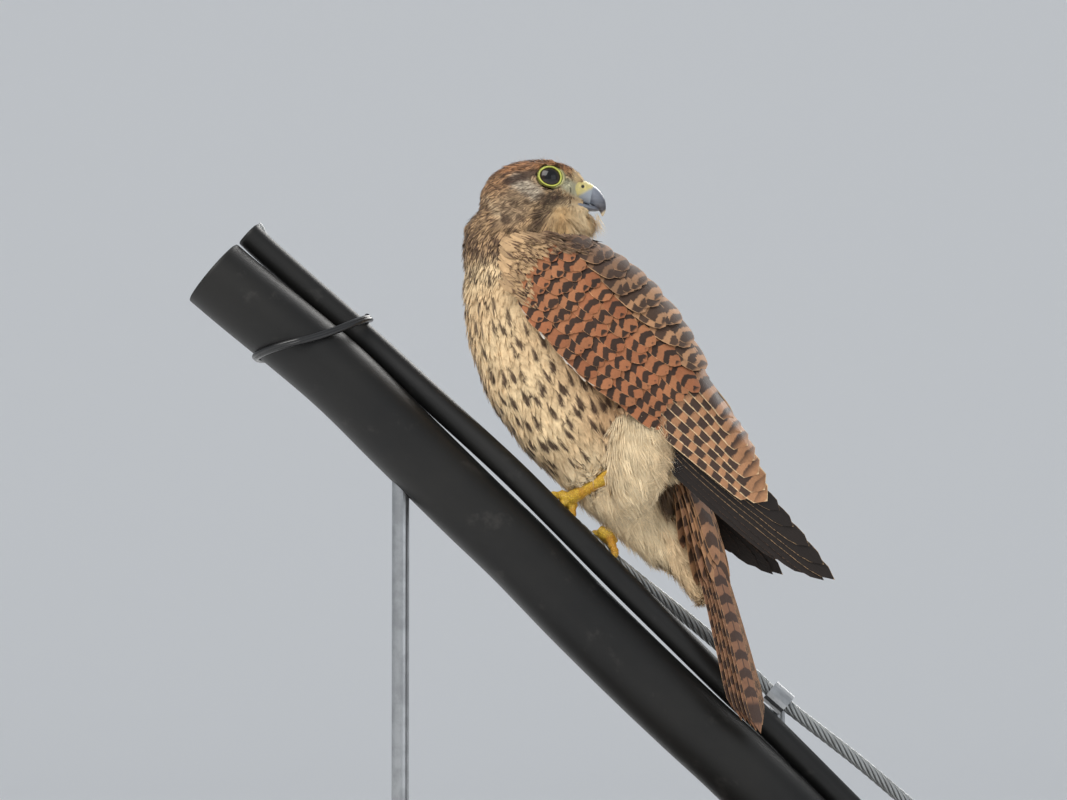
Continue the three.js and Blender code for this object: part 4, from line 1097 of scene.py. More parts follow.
def bodyCoat():
    kind = tractOf(triMiddle, triRegion)
    spacing = np.array([tracts[k][0] for k in kind])
    weight = np.where(keepOff(triMiddle), 0.0, 1 / spacing ** 2)
    seeds, pick = scatter(skinPoints, triArray, weight, spacing)
    region = triRegion[pick]
    kind = tractOf(seeds, region)
    size = np.array([tracts[k] for k in kind])
    vary = rng.uniform(0.82, 1.18, len(seeds))
    lie = lieAt(seeds, region)
    lie = unit(lie + rng.normal(0, 0.07, lie.shape))
    lines, normals = walkOver(skinTree, seeds, lie, size[:, 1] * vary)
    marks = markings(seeds, region)
    patches = unwrap(seeds)
    groups = [("coatFace", "face", hair), ("coatCrown", "crown", hair), ("coatNape", "nape", blade),
              ("coatNeck", "neck", blade), ("coatBreast", "breast", blade),
              ("coatMantle", "mantle", blade), ("coatThroat", "throat", plume),
              ("coatThighs", "thigh", fluff)]
    for name, tract, shape in groups:
        chosen = kind == tract
        n = int(chosen.sum())
        z = size[chosen]
        soft = shape is not blade
        sizes = {"width": z[:, 2] * rng.uniform(0.85, 1.15, n), "lift": z[:, 3] * rng.uniform(0.8, 1.25, n),
                 "sink": z[:, 4], "cup": z[:, 5], "curl": rng.uniform(-0.2, 0.5, n) * z[:, 3],
                 "bend": rng.normal(0, 0.05, n) * z[:, 1] * (2.8 if soft else 1)}
        streak = marks["streak"][chosen] * rng.uniform(0.75, 1.2, n)
        grain = marks["grain"][chosen] * rng.uniform(-1, 1, n)
        ground = np.ones((n, 3)) * (1 + grain * 0.9)[:, None]
        look = lookOf(n, ground=ground, spot=marks["spot"][chosen], rim=evenly("buff", n),
                      streak=streak, bars=marks["bars"][chosen], duty=0.1, slant=0.25,
                      fringe=0.14 if tract == "mantle" else 0)
        featherMesh(name, shape, lines[chosen], normals[chosen], sizes, look, patches[chosen],
                    region[chosen])


bodyCoat()
print("body coat")

# Wing and tail feathers, each a wide vane on a surface
vaneGrid = {"rows": 15, "columns": 9, "tipRows": 6}
usualVane = {"root": 0.5, "roundFrom": 0.72, "power": 2.2, "bend": 0, "rise": 0, "streak": 0,
             "bars": 0, "fringe": 0, "duty": 0, "slant": 0, "phase": 0}


def vaneOutline(v, root, roundFrom, power):
    width = mix(root, 1.0, ramp(v, 0, 0.3))
    over = np.clip((v - roundFrom) / (1 - roundFrom), 0, 1)
    return width * np.maximum(1 - over ** power, 0) ** 0.5


def vaneSet(name, vanes, pointOf, material, instead=(), rows=vaneGrid["rows"]):
    columns, tipRows = vaneGrid["columns"], vaneGrid["tipRows"]
    v = np.concatenate([np.linspace(0, 0.7, rows - tipRows, endpoint=False),
                        np.linspace(0.7, 1, tipRows) ** 0.9])
    vv, aa = np.meshgrid(v / v[-1], np.linspace(-1, 1, columns), indexing="ij")
    points, uvs, count = [], [], vv.size
    attributes = {k: [] for k in ("lie", "mark", "bar", "ground", "spot", "rimTone")}
    cells, pad = math.ceil(math.sqrt(len(vanes))), 0.04
    for k, given in enumerate(vanes):
        vane = {**usualVane, **given}
        outline = vaneOutline(vv, vane["root"], vane["roundFrom"], vane["power"])
        ragged = rng.normal(0, 0.012, vv.shape) * (np.abs(aa) > 0.9)
        points.append(pointOf(vane, vv, aa * outline * (1 + ragged)).reshape(-1, 3))
        attributes["lie"].append(np.stack([aa.ravel(), vv.ravel(), np.full(count, rng.random())], 1))
        for key, parts in (("mark", ("streak", "bars", "fringe")), ("bar", ("duty", "slant", "phase"))):
            attributes[key].append(np.tile([vane[part] for part in parts], (count, 1)))
        for key in ("ground", "spot", "rimTone"):
            attributes[key].append(evenly(vane[key], count))
        column, row = k % cells, k // cells
        u = (column + pad + (aa.ravel() + 1) / 2 * (1 - 2 * pad)) / cells
        w = (row + pad + vv.ravel() * (1 - 2 * pad)) / math.ceil(len(vanes) / cells)
        uvs.append(np.stack([u, w], 1))
    faces = gridFaces(rows, columns)[None] + (np.arange(len(vanes)) * count)[:, None, None]
    faces = faces.reshape(-1, 4)
    attributes = {k: np.vstack(x) for k, x in attributes.items()}
    piece = meshFrom(name, np.vstack(points), faces, attributes, np.vstack(uvs))
    dress(piece, material, instead=instead)
    print(name, len(vanes), "vanes", len(faces) * 2, "triangles")


def wingVanePoint(wing):
    def pointOf(vane, v, across):
        (s0, w0), (s1, w1) = vane["from"], vane["to"]
        direction = vec(s1 - s0, w1 - w0)
        perp = vec(-direction[1], direction[0]) / np.linalg.norm(direction)
        sag = vane["bend"] * np.sin(np.pi * v)
        half = vane["width"] / 2
        s = s0 + direction[0] * v + perp[0] * (sag + across * half)
        w = w0 + direction[1] * v + perp[1] * (sag + across * half)
        low, high = vane["h"]
        h = mix(low, high, ramp(v, 0, 0.85))
        h = h + vane["lift"] * (0.5 - across * 0.5) * (0.25 + 0.75 * v) - 0.35 * across ** 2
        return wingPoint(wing, s, w, h)
    return pointOf


covertFront = through([(5, -6), (16, -17), (24, -18.5), (32, -14), (38, -6), (44, 6), (50, 14)])  # by w
covertTop = through([(-20, 0.86), (-6, 0.80), (12, 0.76), (34, 0.64), (46, 0.64), (62, 0.72),
                     (90, 0.78)])  # share of backEdge


def covertVanes():
    vanes = []
    rowsAt = [  # root s, length, count, width, root and tip height
        (-27, 14, 8, 7.0, 2.6, 4.4), (-20.5, 15, 7, 8.0, 2.8, 4.7), (-14, 16, 8, 7.6, 3.0, 4.9),
        (-7, 17, 7, 8.8, 3.2, 5.0), (0.5, 18, 7, 9.2, 3.3, 5.1), (8.5, 19.5, 6, 10.2, 3.3, 5.1),
        (17, 21, 7, 9.2, 3.3, 5.1), (26, 23, 6, 9.8, 3.3, 5.1), (35.5, 25, 6, 9.8, 3.3, 5.0),
        (46, 28, 6, 10.0, 3.2, 4.7), (58, 31, 7, 9.0, 3.0, 4.3),
    ]
    period = 7.3
    for s, length, count, width, low, high in rowsAt:
        for i in range(count):
            up = (i + 0.5 + 0.14 * rng.normal()) / count
            start = s + rng.normal(0, 0.8) + 3.0 * (up - 0.5)
            end = start + length * rng.uniform(0.94, 1.08)
            w0 = mix(bellyEdge(start) + 1.2, backEdge(start) * covertTop(start) - 0.5, up)
            w1 = mix(bellyEdge(end) + 1.0, backEdge(end) * covertTop(end) - 1.0, up)
            if start + length * 0.55 < covertFront(w1):
                continue
            vanes.append({
                "from": (start, w0), "to": (end, w1),
                "width": width * rng.uniform(0.95, 1.12), "h": (low, high), "lift": 0.9, "roundFrom": 0.5,
                "root": 0.6, "bars": (end - start) / period, "fringe": 0.05,
                "duty": 0.08 + 0.14 * rng.normal() - 0.35 * ramp(i, count - 2.5, count),
                "slant": -0.34 + 0.08 * rng.normal(),
                "phase": (start / period + 0.22 * math.sin(w0 * 0.09 + start * 0.04)
                          + 0.035 * rng.normal()),
                "ground": between("rufous", "warm", 0.1 + 0.25 * rng.random()),
                "spot": between("dark", "black", 0.5 * rng.random()),
                "rimTone": between("rim", "rufous", 0.35)})
    return vanes


def edgeVanes():  # alula, primary coverts and the white feathers of the leading edge
    vanes = []
    for i in range(9):
        start = 14 + i * 6.5
        vanes.append({
            "from": (start, bellyEdge(start) + 1.8),
            "to": (start + 27, bellyEdge(start + 27) + 0.4 + 0.35 * i),
            "width": 6, "h": (1.6, 2.6), "lift": 0.5, "roundFrom": 0.7, "fringe": 0.1,
            "ground": between("dark", "deepRufous", 0.35), "spot": "black", "rimTone": "buff"})
    for i in range(30):
        start = -7 + i * 2.5
        vanes.append({
            "from": (start, bellyEdge(start) + 0.9),
            "to": (start + 9, bellyEdge(start + 9) - 0.9 + rng.normal(0, 0.6)),
            "width": 2.0, "h": (2.2, 3.2 + 0.4 * rng.random()), "lift": 0.3, "roundFrom": 0.4,
            "ground": between("white", "buff", 0.25 + 0.45 * rng.random() + 0.3 * (i < 3)),
            "spot": "buff", "rimTone": "white"})
    return vanes


def secondaryVanes():
    vanes, count, period = [], 8, 10.0
    for i in range(count):  # from the lowest up to the tertials
        up = i / (count - 1)
        start = 66 - 5 * up
        end = 151 if i == 0 else 162 - 46 * up ** 1.2
        end = end + rng.normal(0, 0.6)
        vanes.append({
            "from": (start, mix(0.5, 36, up)), "to": (end, mix(4.2, 26, up)),
            "width": 12.4, "h": (1.6, 2.9), "lift": 2.2, "bend": 0.6, "roundFrom": 0.88, "power": 2.6,
            "bars": (end - start) / period, "duty": 0.5, "slant": -0.10,
            "phase": 0.62 - (end - start) / period + 0.09 * rng.normal(),
            "fringe": 0.085, "ground": between("rufous", "buff", 0.35), "spot": "flightBar",
            "rimTone": between("rim", "cream", 0.7)})
    return vanes


def primaryVanes():
    ends = [(186, -9.5), (199, -7.2), (207.5, -4.2), (211.5, -0.3), (202, 2.0), (190, 4.2),
            (177, 6.4), (166, 8.2)]
    vanes = []
    for i, end in enumerate(ends):
        top = i >= 3
        vanes.append({
            "from": (84, -8.5 + i * 2.1), "to": end, "width": 9.2 if top else 8.4,
            "h": (-3.2 + 0.36 * i, -3.2 + 0.46 * i), "lift": 1.7, "bend": -1.7 + 0.1 * i,
            "roundFrom": 0.86, "power": 1.6, "fringe": 0.05 if top else 0.025,
            "ground": between("black", "dark", 0.25), "spot": "black",
            "rimTone": between("buff", "brown", 0.35) if top else "brown"})
    return vanes


def scapularVanes():
    vanes, period = [], 8.5
    rowsAt = [  # root s, length, count, width, root and tip height
        (-14, 17, 2, 8.0, 3.2, 5.2), (-6, 19, 3, 8.6, 3.3, 5.8), (3, 21, 3, 9.0, 3.3, 6.2),
        (12, 23, 4, 9.4, 3.3, 6.2), (22, 24, 4, 9.6, 3.3, 6.2), (32, 26, 4, 9.8, 3.2, 6.0),
        (43, 28, 3, 10.2, 3.0, 5.4), (54, 30, 3, 10.2, 2.8, 4.8),
    ]
    for s, length, count, width, low, high in rowsAt:
        for i in range(count):
            share = (i + 0.35) / count
            start = s + rng.normal(0, 1.0) + 3 * share
            end = start + length * rng.uniform(0.94, 1.06)
            vanes.append({
                "from": (start, backEdge(start) * mix(covertTop(start) + 0.06, 0.97, share)),
                "to": (end, backEdge(end) * mix(covertTop(end) + 0.07, 0.965, share)), "width": width,
                "h": (low, high), "lift": 0.8, "roundFrom": 0.55, "bars": (end - start) / period,
                "duty": 0.55 + 0.1 * rng.normal(), "slant": -0.2,
                "phase": 0.55 - (end - start) / period + 0.16 * rng.normal(), "fringe": 0.10,
                "ground": mix(between("buff", "rufous", 0.55), tones["mantle"],
                              mix(0.75, 0.1, ramp(start, 0, 30))),
                "spot": between("mantle", "dark", 0.6 + 0.3 * rng.random()),
                "rimTone": between("rim", "mantle", 0.3 + 0.3 * rng.random())})
    return vanes


def cape(label, wing):  # loose body feathers over the front of the wing
    starts, ends, wide, tint = [], [], [], []
    for w in np.arange(3.5, 49, 1.55):
        front = float(covertFront(w))
        for k in range(7):
            s0 = front - 15 + k * 2.1 + rng.normal(0, 0.7)
            ww = w + rng.normal(0, 0.5)
            length = rng.uniform(9.5, 13.5)
            starts.append((s0, ww))
            ends.append((s0 + length, ww + rng.normal(-0.2, 0.7)))
            wide.append(rng.uniform(3.0, 4.4))
            tint.append(ramp(ww, 27, 38))
    starts, ends, tint = np.array(starts), np.array(ends), np.array(tint)
    t = np.linspace(0, 1, steps + 1)[None, :]
    s = starts[:, :1] + (ends[:, :1] - starts[:, :1]) * t
    w = starts[:, 1:] + (ends[:, 1:] - starts[:, 1:]) * t
    height = 3.4 + 2.2 * t + 0 * s - 3.6 * (1 - ramp(s, -34, -14))
    lines = wingPoint(wing, s, w, height)
    normals = unit(np.cross(wingPoint(wing, s + 0.5, w, height) - lines,
                            wingPoint(wing, s, w + 0.5, height) - lines))
    normals = normals * np.where(normals[..., 1:2] * wing["side"] < 0, -1, 1)
    n = len(lines)
    size = sizeOf(n, width=np.array(wide), lift=0.6, sink=-1.0, cup=0.2,
                  curl=rng.uniform(-0.2, 0.3, n), bend=rng.normal(0, 0.5, n))
    dark = np.clip(tint + 0.2 * (rng.random(n) < 0.3), 0, 1)
    ground = layer(evenly(between("buff", "brown", 0.18), n), "mantle", 0.6 * dark)
    ground = ground * rng.uniform(0.72, 1.12, (n, 1))
    look = lookOf(n, ground=ground, spot=evenly(between("mantle", "brown", 0.4), n),
                  rim=evenly("buff", n), fringe=0.05,
                  streak=np.where(rng.random(n) < 0.45, 0.4, 0.0) + 0.3 * dark)
    featherMesh("cape_" + label, blade, lines, normals, size, look, starts)


def wingBase(label, wing):  # the wing's own flesh, under its coverts
    sCount, wCount, front, end = 46, 22, -13, 86
    ss, tt = np.meshgrid(np.linspace(front, end, sCount), np.linspace(0, 1, wCount), indexing="ij")
    ww = mix(bellyEdge(ss) + 1.4, backEdge(ss) * 0.97, tt)
    rim = (np.minimum(1, np.minimum(tt, 1 - tt) * 9)
           * np.minimum(1, np.minimum(ss - front, end - ss) / 6))
    over = wingPoint(wing, ss, ww, 0.5 + 2.6 * np.sqrt(rim)).reshape(-1, 3)
    under = wingPoint(wing, ss, ww, 0.4 * np.ones_like(ss)).reshape(-1, 3)
    n = len(over)
    faces = np.vstack([gridFaces(sCount, wCount), gridFaces(sCount, wCount)[:, ::-1] + n])
    # painted shade: the sheet under the coverts is deep rufous darkened towards dark, for the shaded gaps
    # between them
    ground = evenly(between("deepRufous", "dark", 0.45), 2 * n)
    piece = meshFrom("wingFlesh_" + label, np.vstack([over, under]), faces,
                     bareLook(ground, ground, ground))
    dress(piece, plumage,
          instead=["wing_" + label + "_arm", "scapulars_" + label])


for label, wing in wings.items():
    pointOf = wingVanePoint(wing)
    wingBase(label, wing)
    vaneSet("primaries_" + label, primaryVanes(), pointOf, flight,
            ["wing_" + label + "_primaries"])
    vaneSet("secondaries_" + label, secondaryVanes(), pointOf, flight,
            ["wing_" + label + "_secondaries"])
    vaneSet("leadingEdge_" + label, edgeVanes(), pointOf, plumage)
    vaneSet("coverts_" + label, covertVanes(), pointOf, plumage)
    vaneSet("scapularFeathers_" + label, scapularVanes(), pointOf, plumage)
    cape(label, wing)
print("wings")

# Tail
tailRoot, tailTip = vec(74, midY - 3, 243), vec(109.5, midY - 32, 112)
tailAhead = unit(tailTip - tailRoot)
tailAcross = vec(0.576, 0.8, 0.168)
tailAcross = unit(tailAcross - tailAhead * (tailAcross @ tailAhead))
tailUp = np.cross(tailAhead, tailAcross)
tailUp = tailUp if tailUp[0] > 0 else -tailUp
tailLength = float(np.linalg.norm(tailTip - tailRoot))


def tailPoint(vane, v, across):
    k = vane["k"]
    out = k / 5.5 * mix(3.5, 12.5, v ** 0.8)
    length = tailLength * (1 - 0.017 * abs(k)) + vane["extra"]
    up = -abs(k) * 0.75 + 2.2 * np.sin(np.pi * v) + 1.9 + vane["rise"] * v
    middle = (tailRoot + tailAhead * (-9 + (length + 9) * v)[..., None] + tailAcross * out[..., None]
              + tailUp * up[..., None])
    return (middle + tailAcross * (across * vane["width"] / 2)[..., None]
            + tailUp * (-0.35 * across ** 2 + 0.25 * across * np.sign(k + 0.01))[..., None])


def tailFeathers():
    vanes = []
    for k in (-5, 5, -4, 4, -3, 3, -2, 2, -1, 1, 0):
        vanes.append({
            "k": k, "extra": rng.normal(0, 0.9), "width": 10.6, "root": 0.6, "roundFrom": 0.9, "power": 1.9,
            "streak": -0.2, "bars": 14.5, "duty": 0.15, "slant": -0.2,
            "phase": 0.1 + 0.10 * rng.normal(), "fringe": 0.06,
            "ground": between("tail", "brown", 0.35 + 0.3 * rng.random()),
            "spot": "tailBar", "rimTone": between("rim", "brown", 0.2)})
    for under in (False, True):  # coverts over and under the root
        for row, k in enumerate((-5, 5, -3, 3, -1, 1, 0, -4, 4, -2, 2)):
            vanes.append({
                "k": k, "extra": -tailLength * (0.84 if row < 7 else 0.72) + 26 + rng.normal(0, 2.0),
                "width": 11.5, "root": 0.7, "roundFrom": 0.6,
                "rise": (-3.6 if under else 2.6) + rng.normal(0, 0.3), "bars": 4.5,
                "duty": 0.1 if under else 0.35, "slant": -0.3, "phase": 0.3 * rng.normal(),
                "fringe": 0.12, "ground": between("warm", "tail", 0.3 + 0.5 * rng.random()),
                "spot": "tailCovertBar", "rimTone": "warm"})
    return vanes


vaneSet("tailFeathers", tailFeathers(), tailPoint, flight, ["tail"], rows=40)
print("tail")


# Head: eyes, lids, bill, cere
def revolve(profile, centre, axis, sides=96):
    axis = unit(axis)
    first = unit(np.cross(axis, vec(0, 0, 1)))
    second = np.cross(axis, first)
    angle = circle(sides)
    r, h = np.array(profile).T
    outward = first * np.cos(angle)[:, None] + second * np.sin(angle)[:, None]
    ring = centre + axis * h[:, None, None] + outward[None] * r[:, None, None]
    return ring.reshape(-1, 3), len(profile), sides


for side, label in ((-1, "right"), (1, "left")):  # the head looks back, so the near eye is the right
    centre, gaze = eyeAt(side)
    turn = np.linspace(0.02, math.pi - 0.02, 48)
    profile = np.stack([np.sin(turn) * eye["radius"], np.cos(turn) * eye["radius"]], 1)
    ball, rows, sides = revolve(profile, centre, gaze)
    iris = np.repeat(np.sin(turn) * eye["radius"] / 5.4, sides)
    iris[np.repeat(turn > 1.57, sides)] = 1
    piece = meshFrom("eyeball_" + label, ball, gridFaces(rows, sides, True), {"iris": iris})
    dress(piece, eyeDark, instead=["eye_" + label])
    profile = [(5.35, 4.7), (5.5, 5.0), (5.7, 5.15), (6.0, 5.18), (6.25, 5.05), (6.4, 4.8), (6.6, 4.72),
               (6.85, 4.95), (7.15, 5.25), (7.5, 5.35), (7.9, 5.15), (8.4, 4.5), (9.0, 3.4)]
    ringPoints, rows, sides = revolve(profile, centre, gaze, 140)
    radius = np.repeat([p[0] for p in profile], sides)
    upward = lidAxis(gaze)
    forward = unit(np.cross(upward, gaze)) * (1 if np.cross(upward, gaze)[0] > 0 else -1)
    rel = ringPoints - centre
    high, ahead, out = rel @ upward, rel @ forward, rel @ gaze
    flat = high * eye["squash"]  # the opening is wider than high
    ball = np.sqrt(np.maximum(eye["radius"] ** 2 - flat ** 2 - ahead ** 2, 0))
    plain = np.sqrt(np.maximum(eye["radius"] ** 2 - high ** 2 - ahead ** 2, 0))
    front = ramp(ahead, 1.5, 5.5)  # the second fold shows only before the eye
    out = out + (ball - plain) * (1 - ramp(radius, 6.4, 7.6)) - 2.6 * ramp(radius, 6.45, 7.0) * (1 - front)
    ringPoints = centre + upward * flat[:, None] + forward * ahead[:, None] + gaze * out[:, None]
    # painted shade: dark in the crease between the two folds, at the inner edge against the eyeball and,
    # fainter, at the outer edge under the feathers
    paintedShade = np.where((radius > 6.3) & (radius < 6.75), 0.55 + 0.35 * front, 0.0)
    paintedShade = np.where(radius < 5.45, 0.9, paintedShade)
    paintedShade = np.where(radius > 8.2, 0.4, paintedShade)
    outer = ramp(radius, 6.5, 7.2)
    lid = meshFrom("lidFolds_" + label, ringPoints, gridFaces(rows, sides, True),
                   {"paintedShade": paintedShade, "outer": outer})
    dress(lid, lidSkin, instead=["eyelid_" + label])

upper = [((11, headY, 397.5), 4.6, 6.6), ((17, headY, 396.8), 5.4, 6.2), ((21, headY, 395.6), 5.3, 5.5),
         ((25, headY, 393.7), 4.7, 4.5), ((28.2, headY, 390.6), 3.5, 3.3), ((29.9, headY, 387), 2.1, 2),
         ((30.2, headY, 384.4), 0.9, 0.9), ((30, headY, 383.2), 0.3, 0.3)]
lower = [((12, headY, 389.6), 1.7, 6), ((17, headY, 388.9), 1.8, 5.5), ((22, headY, 387.6), 1.7, 4.6),
         ((26, headY, 387.0), 1.4, 3.1), ((28.4, headY, 386.6), 0.6, 1.4)]


def billHalf(name, stations, node, tipFrom, tipTo):
    line, size = girthOf(stations, np.linspace(0, 1, 71))
    ring = ovalRings(line, np.maximum(size, 0.12), 56, 0.9)
    body, quads, triangles = capped(ring, len(line), 56)
    if name == "upperBill":  # the edge dips in a small tooth behind the hook
        tooth = np.exp(-((body[:, 0] - 26.6) / 0.8) ** 2 - ((body[:, 2] - 388.2) / 1.4) ** 2)
        body[:, 2] -= tooth * 0.9
    run = vec(*tipTo) - vec(*tipFrom)
    reach = (body - vec(*tipFrom)) @ unit(run) / np.linalg.norm(run)
    piece = closedPiece(name, body, quads, triangles, {"tipness": np.clip(reach, 0, 1)})
    dress(piece, billHorn, instead=[node])


billHalf("upperBill", upper, "bill_upper", (20, headY, 398), (30.5, headY, 384))
billHalf("lowerBill", lower, "bill_lower", (14, headY, 389), (33, headY, 386))


def cerePiece():
    t = np.linspace(0, 0.40, 60)
    t = np.concatenate([t, t[-1] + np.array([0.003, 0.006, 0.008])])
    line, size = girthOf(upper, t)
    size = size + 0.35
    size[-3:] += np.array([[-0.1], [-0.3], [-0.8]])
    slope = np.cos(circle(80))[None, :] * 1.6 * ramp(t, 0.2, 0.4)[:, None]  # further forward above
    forward = (alongLine(line)[0][:, None] * slope[..., None]).reshape(-1, 3)
    ring = ovalRings(line, size, 80, 0.9) + forward
    paintedShade = np.zeros(len(ring))
    for side in (-1, 1):
        nostril = vec(19.8, headY + side * 5.4, 398.2)
        away = np.linalg.norm((ring - nostril) * vec(1, 0.5, 1), axis=1)
        ring[:, 1] -= side * 0.3 * (1 - ramp(away, 0.5, 1.15))
        ring[:, 1] += side * 0.22 * np.exp(-((away - 1.5) / 0.4) ** 2)
        # painted shade inside each nostril
        paintedShade = np.maximum(paintedShade, 1 - ramp(away, 0.75, 1.15))
    low = (ring[:, 0] - 20.3) * 0.514 - (ring[:, 2] - 396.5) * 0.857
    outer = ramp(low, 0.2, 2.4)  # horn grey along the mouth
    piece = meshFrom("cereSkin", ring, gridFaces(len(t), 80, True), {"paintedShade": paintedShade, "outer": outer})
    dress(piece, cereSkin, instead=["cere"])


cerePiece()


def looseDown():  # wisps of down left on the crown
    wisps = {"count": 46, "from": -19, "to": 15, "length": (4.5, 8.0), "width": 2.2}
    n = wisps["count"]
    x = rng.uniform(wisps["from"], wisps["to"], n)
    starts = np.stack([x, headY + rng.normal(0, 4.5, n), np.full(n, 420.0)], 1)
    lines, normals = np.zeros((2, n, steps + 1, 3))
    for i in range(n):
        point = skinTree.ray_cast(Vector(starts[i]), Vector((0, 0, -1)))[0]
        point = np.array(point if point else skinTree.find_nearest(Vector(starts[i]))[0])
        lean = unit(vec(-0.25 + rng.normal(0, 0.35), rng.normal(0, 0.3), 1))
        length = rng.uniform(*wisps["length"])
        for k in range(steps + 1):
            lines[i, k] = point + lean * length * k / steps
        normals[i] = unit(np.cross(lean, vec(0, 1, 0)))
    size = sizeOf(n, width=wisps["width"], curl=rng.normal(0, 0.8, n), bend=rng.normal(0, 0.8, n))
    white = evenly("white", n)
    look = lookOf(n, ground=white, spot=white, rim=white)
    featherMesh("crownDown", wisp, lines, normals, size, look, starts)


looseDown()


def looseTuft(name, tuft):  # plumes from one place
    count = tuft["count"]
    starts = vec(*tuft["at"]) + rng.uniform(-1, 1, (count, 3)) * vec(*tuft["spread"])
    headings = unit(vec(*tuft["heading"]) + rng.normal(0, tuft["stray"], (count, 3)))
    reach = rng.uniform(*tuft["length"], count)
    t = np.linspace(0, 1, steps + 1)
    sag = -0.12 * reach[:, None] * t ** 2
    lines = (starts[:, None] + headings[:, None] * (reach[:, None] * t)[..., None]
             + vec(0, 0, 1) * sag[..., None])
    normals = np.repeat(unit(np.cross(headings, vec(0.2, 1, 0.1)))[:, None], steps + 1, axis=1)
    size = sizeOf(count, width=tuft["width"], curl=rng.normal(0, 0.8, count),
                  bend=rng.normal(0, 1.2, count))
    tint = evenly(tuft["colour"], count) * rng.uniform(0.8, 1.05, (count, 1))
    look = lookOf(count, ground=tint, spot=tint, rim=tint)
    featherMesh(name, tuft["shape"], lines, normals, size, look, starts)


tufts = {
    "thighWisps": {"count": 46, "at": (56, midY - 22, 251), "spread": (7, 4, 6), "length": (9, 15),
                   "heading": (0.86, -0.3, 0.3), "stray": 0.22, "width": 4.5, "colour": "white",
                   "shape": wisp},
    "rumpFluff": {"count": 240, "at": (63, midY - 3, 241), "spread": (5, 9, 6), "length": (13, 21),
                  "heading": (0.36, -0.03, -0.9), "stray": 0.12, "width": 5.0,
                  "colour": between("buff", "brown", 0.35), "shape": fluff},
    "beardWisps": {"count": 60, "at": (24.5, headY, 381), "spread": (4, 4, 4), "length": (7, 12),
                   "heading": (0.5, 0, -0.86), "stray": 0.16, "width": 2.6, "colour": "pale",
                   "shape": wisp},
}
for name, tuft in tufts.items():
    looseTuft(name, tuft)
print("eyes and bill")

# Legs and feet
grip = {"wireRadius": 3.4, "toeRadius": 2.1, "clawBend": 52, "clawSpace": 2}
feet = {  # each toe: start and end along the wire, first and last angle round it
    "left": {"ankle": (35, midY - 18.5, 247.5), "wireAt": 0.412, "palmAngle": 24,
             "toes": [(-4, -11, 24, 162), (0, -1, 40, 172), (4, 11.3, 26, 162), (0, 4.5, -25, -105)]},
    "right": {"ankle": (46, midY + 10.5, 233), "wireAt": 0.518, "palmAngle": -4,
              "toes": [(-3, -8.8, -15, -165), (-1, -3, -20, -170), (1, 3, -15, -160), (3, 9.5, 20, 85)]},
}


def footFrame(foot):
    at, nudge = foot["wireAt"], 1e-3
    centre = spline(paths["wire"], at)
    ahead = unit(spline(paths["wire"], at + nudge) - spline(paths["wire"], at - nudge))
    near = unit(vec(0, -1, 0) + ahead * ahead[1])
    upperSide = unit(np.cross(ahead, near))
    upperSide = upperSide if upperSide[2] > 0 else -upperSide

    def around(along, angle, reach):
        turn = math.radians(angle)
        return centre + ahead * along + upperSide * math.cos(turn) * reach + near * math.sin(turn) * reach
    return around, ahead


def clumpOf(parts, name, voxel):
    points, faces, start = [], [], 0
    for body, quads, triangles in parts:
        points.append(body)
        faces += (quads + start).tolist() + (triangles + start).tolist()
        start += len(body)
    data = bpy.data.meshes.new(name)
    data.from_pydata(np.vstack(points).tolist(), [], faces)
    obj = placed(name, data)
    done = remeshed(obj, voxel, 3)
    for v in done.vertices:
        v.co *= mm
    done.shade_smooth()
    return obj


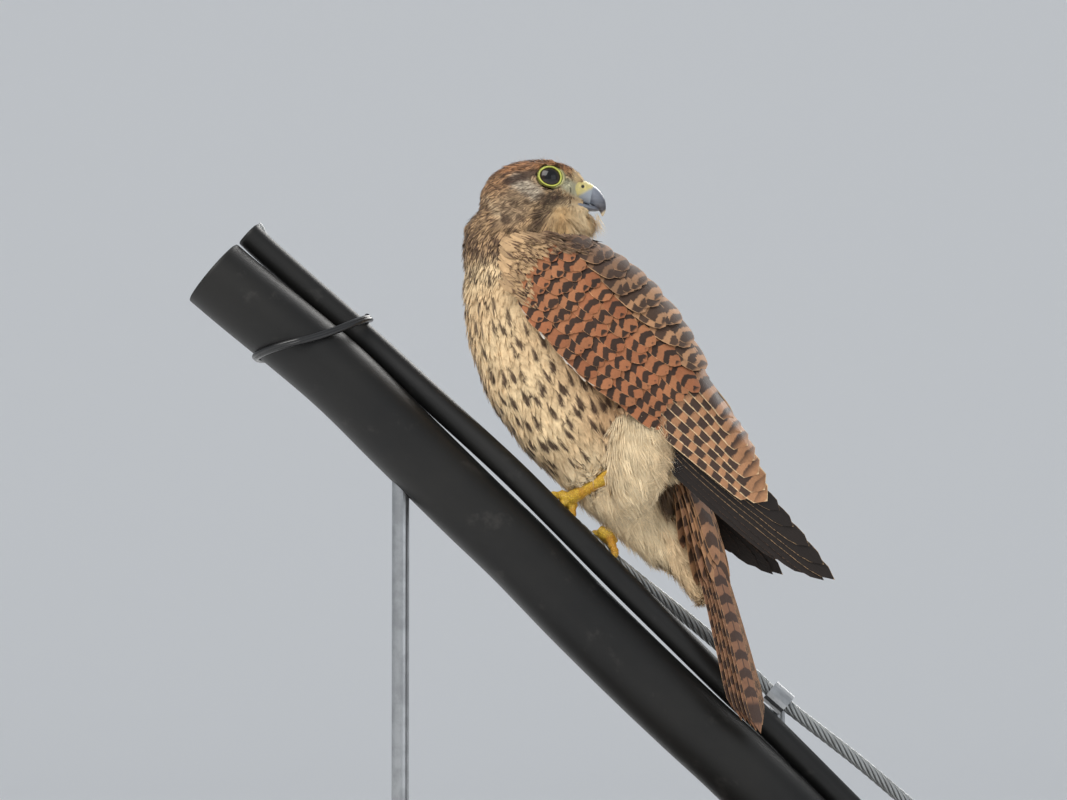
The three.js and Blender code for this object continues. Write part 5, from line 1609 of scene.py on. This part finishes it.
for label, foot in feet.items():
    around, wireAhead = footFrame(foot)
    reach = grip["wireRadius"] + gap
    palm = around(0, foot["palmAngle"], reach + 3.5)
    ankle = vec(*foot["ankle"])
    t = np.linspace(-0.18, 1.0, 40)
    girth = np.interp(t, [-0.18, -0.05, 0.12, 0.45, 0.75, 1], [3.2, 3.6, 3.45, 3.1, 3.4, 3.9])
    girth = girth * (1 + 0.03 * np.sin(t * 60))  # scutes down the leg
    parts = [tube(ankle + (palm - ankle) * t[:, None], girth, sides=28)]
    palmRun = np.linspace(-6, 6, 18)
    palmLine = np.array([palm + wireAhead * x for x in palmRun])
    palmGirth = np.interp(palmRun, [-6, -2.8, 2.8, 6], [1.8, 3.3, 3.3, 1.8])
    parts.append(tube(palmLine, palmGirth, sides=24))
    clawParts = []
    for start, end, fromAngle, toAngle in foot["toes"]:
        t = np.linspace(0, 1, 44)
        line = np.array([around(mix(start, end, min(1, x * 1.6)), mix(fromAngle, toAngle, x),
                                reach + grip["toeRadius"] + 0.15 + 0.9 * max(0, 1 - x * 5)) for x in t])
        pads = 1 + 0.11 * np.cos(t * 4 * 2 * np.pi) + 0.025 * np.cos(t * 70)
        toeGirth = mix(1.05, 0.78, t) * grip["toeRadius"] * pads
        parts.append(tube(line, toeGirth, sides=22, across=wireAhead))
        way = 1 if toAngle > fromAngle else -1
        u = np.linspace(0, 1, 26)
        sunk = 8  # degrees of a claw's root inside its toe
        clawLine = np.array([around(end, toAngle + way * (grip["clawSpace"] - sunk
                                                          + (grip["clawBend"] + sunk) * x),
                                    reach + 1.4 + math.sin(x * 2) * 0.7) for x in u])
        clawGirth = np.interp(u, [0, 0.35, 0.7, 1], [1.22, 1.0, 0.62, 0.1])
        clawParts.append(tube(clawLine, clawGirth, sides=18, across=wireAhead, flat=0.8))
    leg = clumpOf(parts, "scaledLeg_" + label, 0.34)
    dress(leg, legSkin, instead=["tarsus_" + label, "foot_" + label])
    claws = clumpOf(clawParts, "claws_" + label, 0.16)
    dress(claws, clawHorn, instead=["claw_%s_%d" % (label, k) for k in (1, 2, 3, 4)])
print("legs")

# Floor and backdrop, one sweep
sweep = {"half": 9.0, "back": 4.0, "bend": 2.0, "high": 7.0}
profile = [(-8.0, 0.0), (sweep["back"], 0.0)]
for k in range(1, 13):
    turn = k / 12 * math.pi / 2
    profile.append((sweep["back"] + math.sin(turn) * sweep["bend"],
                    sweep["bend"] - math.cos(turn) * sweep["bend"]))
profile.append((sweep["back"] + sweep["bend"], sweep["high"]))
sweepPoints = np.array([(x, y, z - 0.0002) for y, z in profile
                        for x in (-sweep["half"], sweep["half"])]) / mm
floor = meshFrom("floorSweep", sweepPoints, gridFaces(len(profile), 2))
floor.data.materials.append(floorPaint)
print("floor")
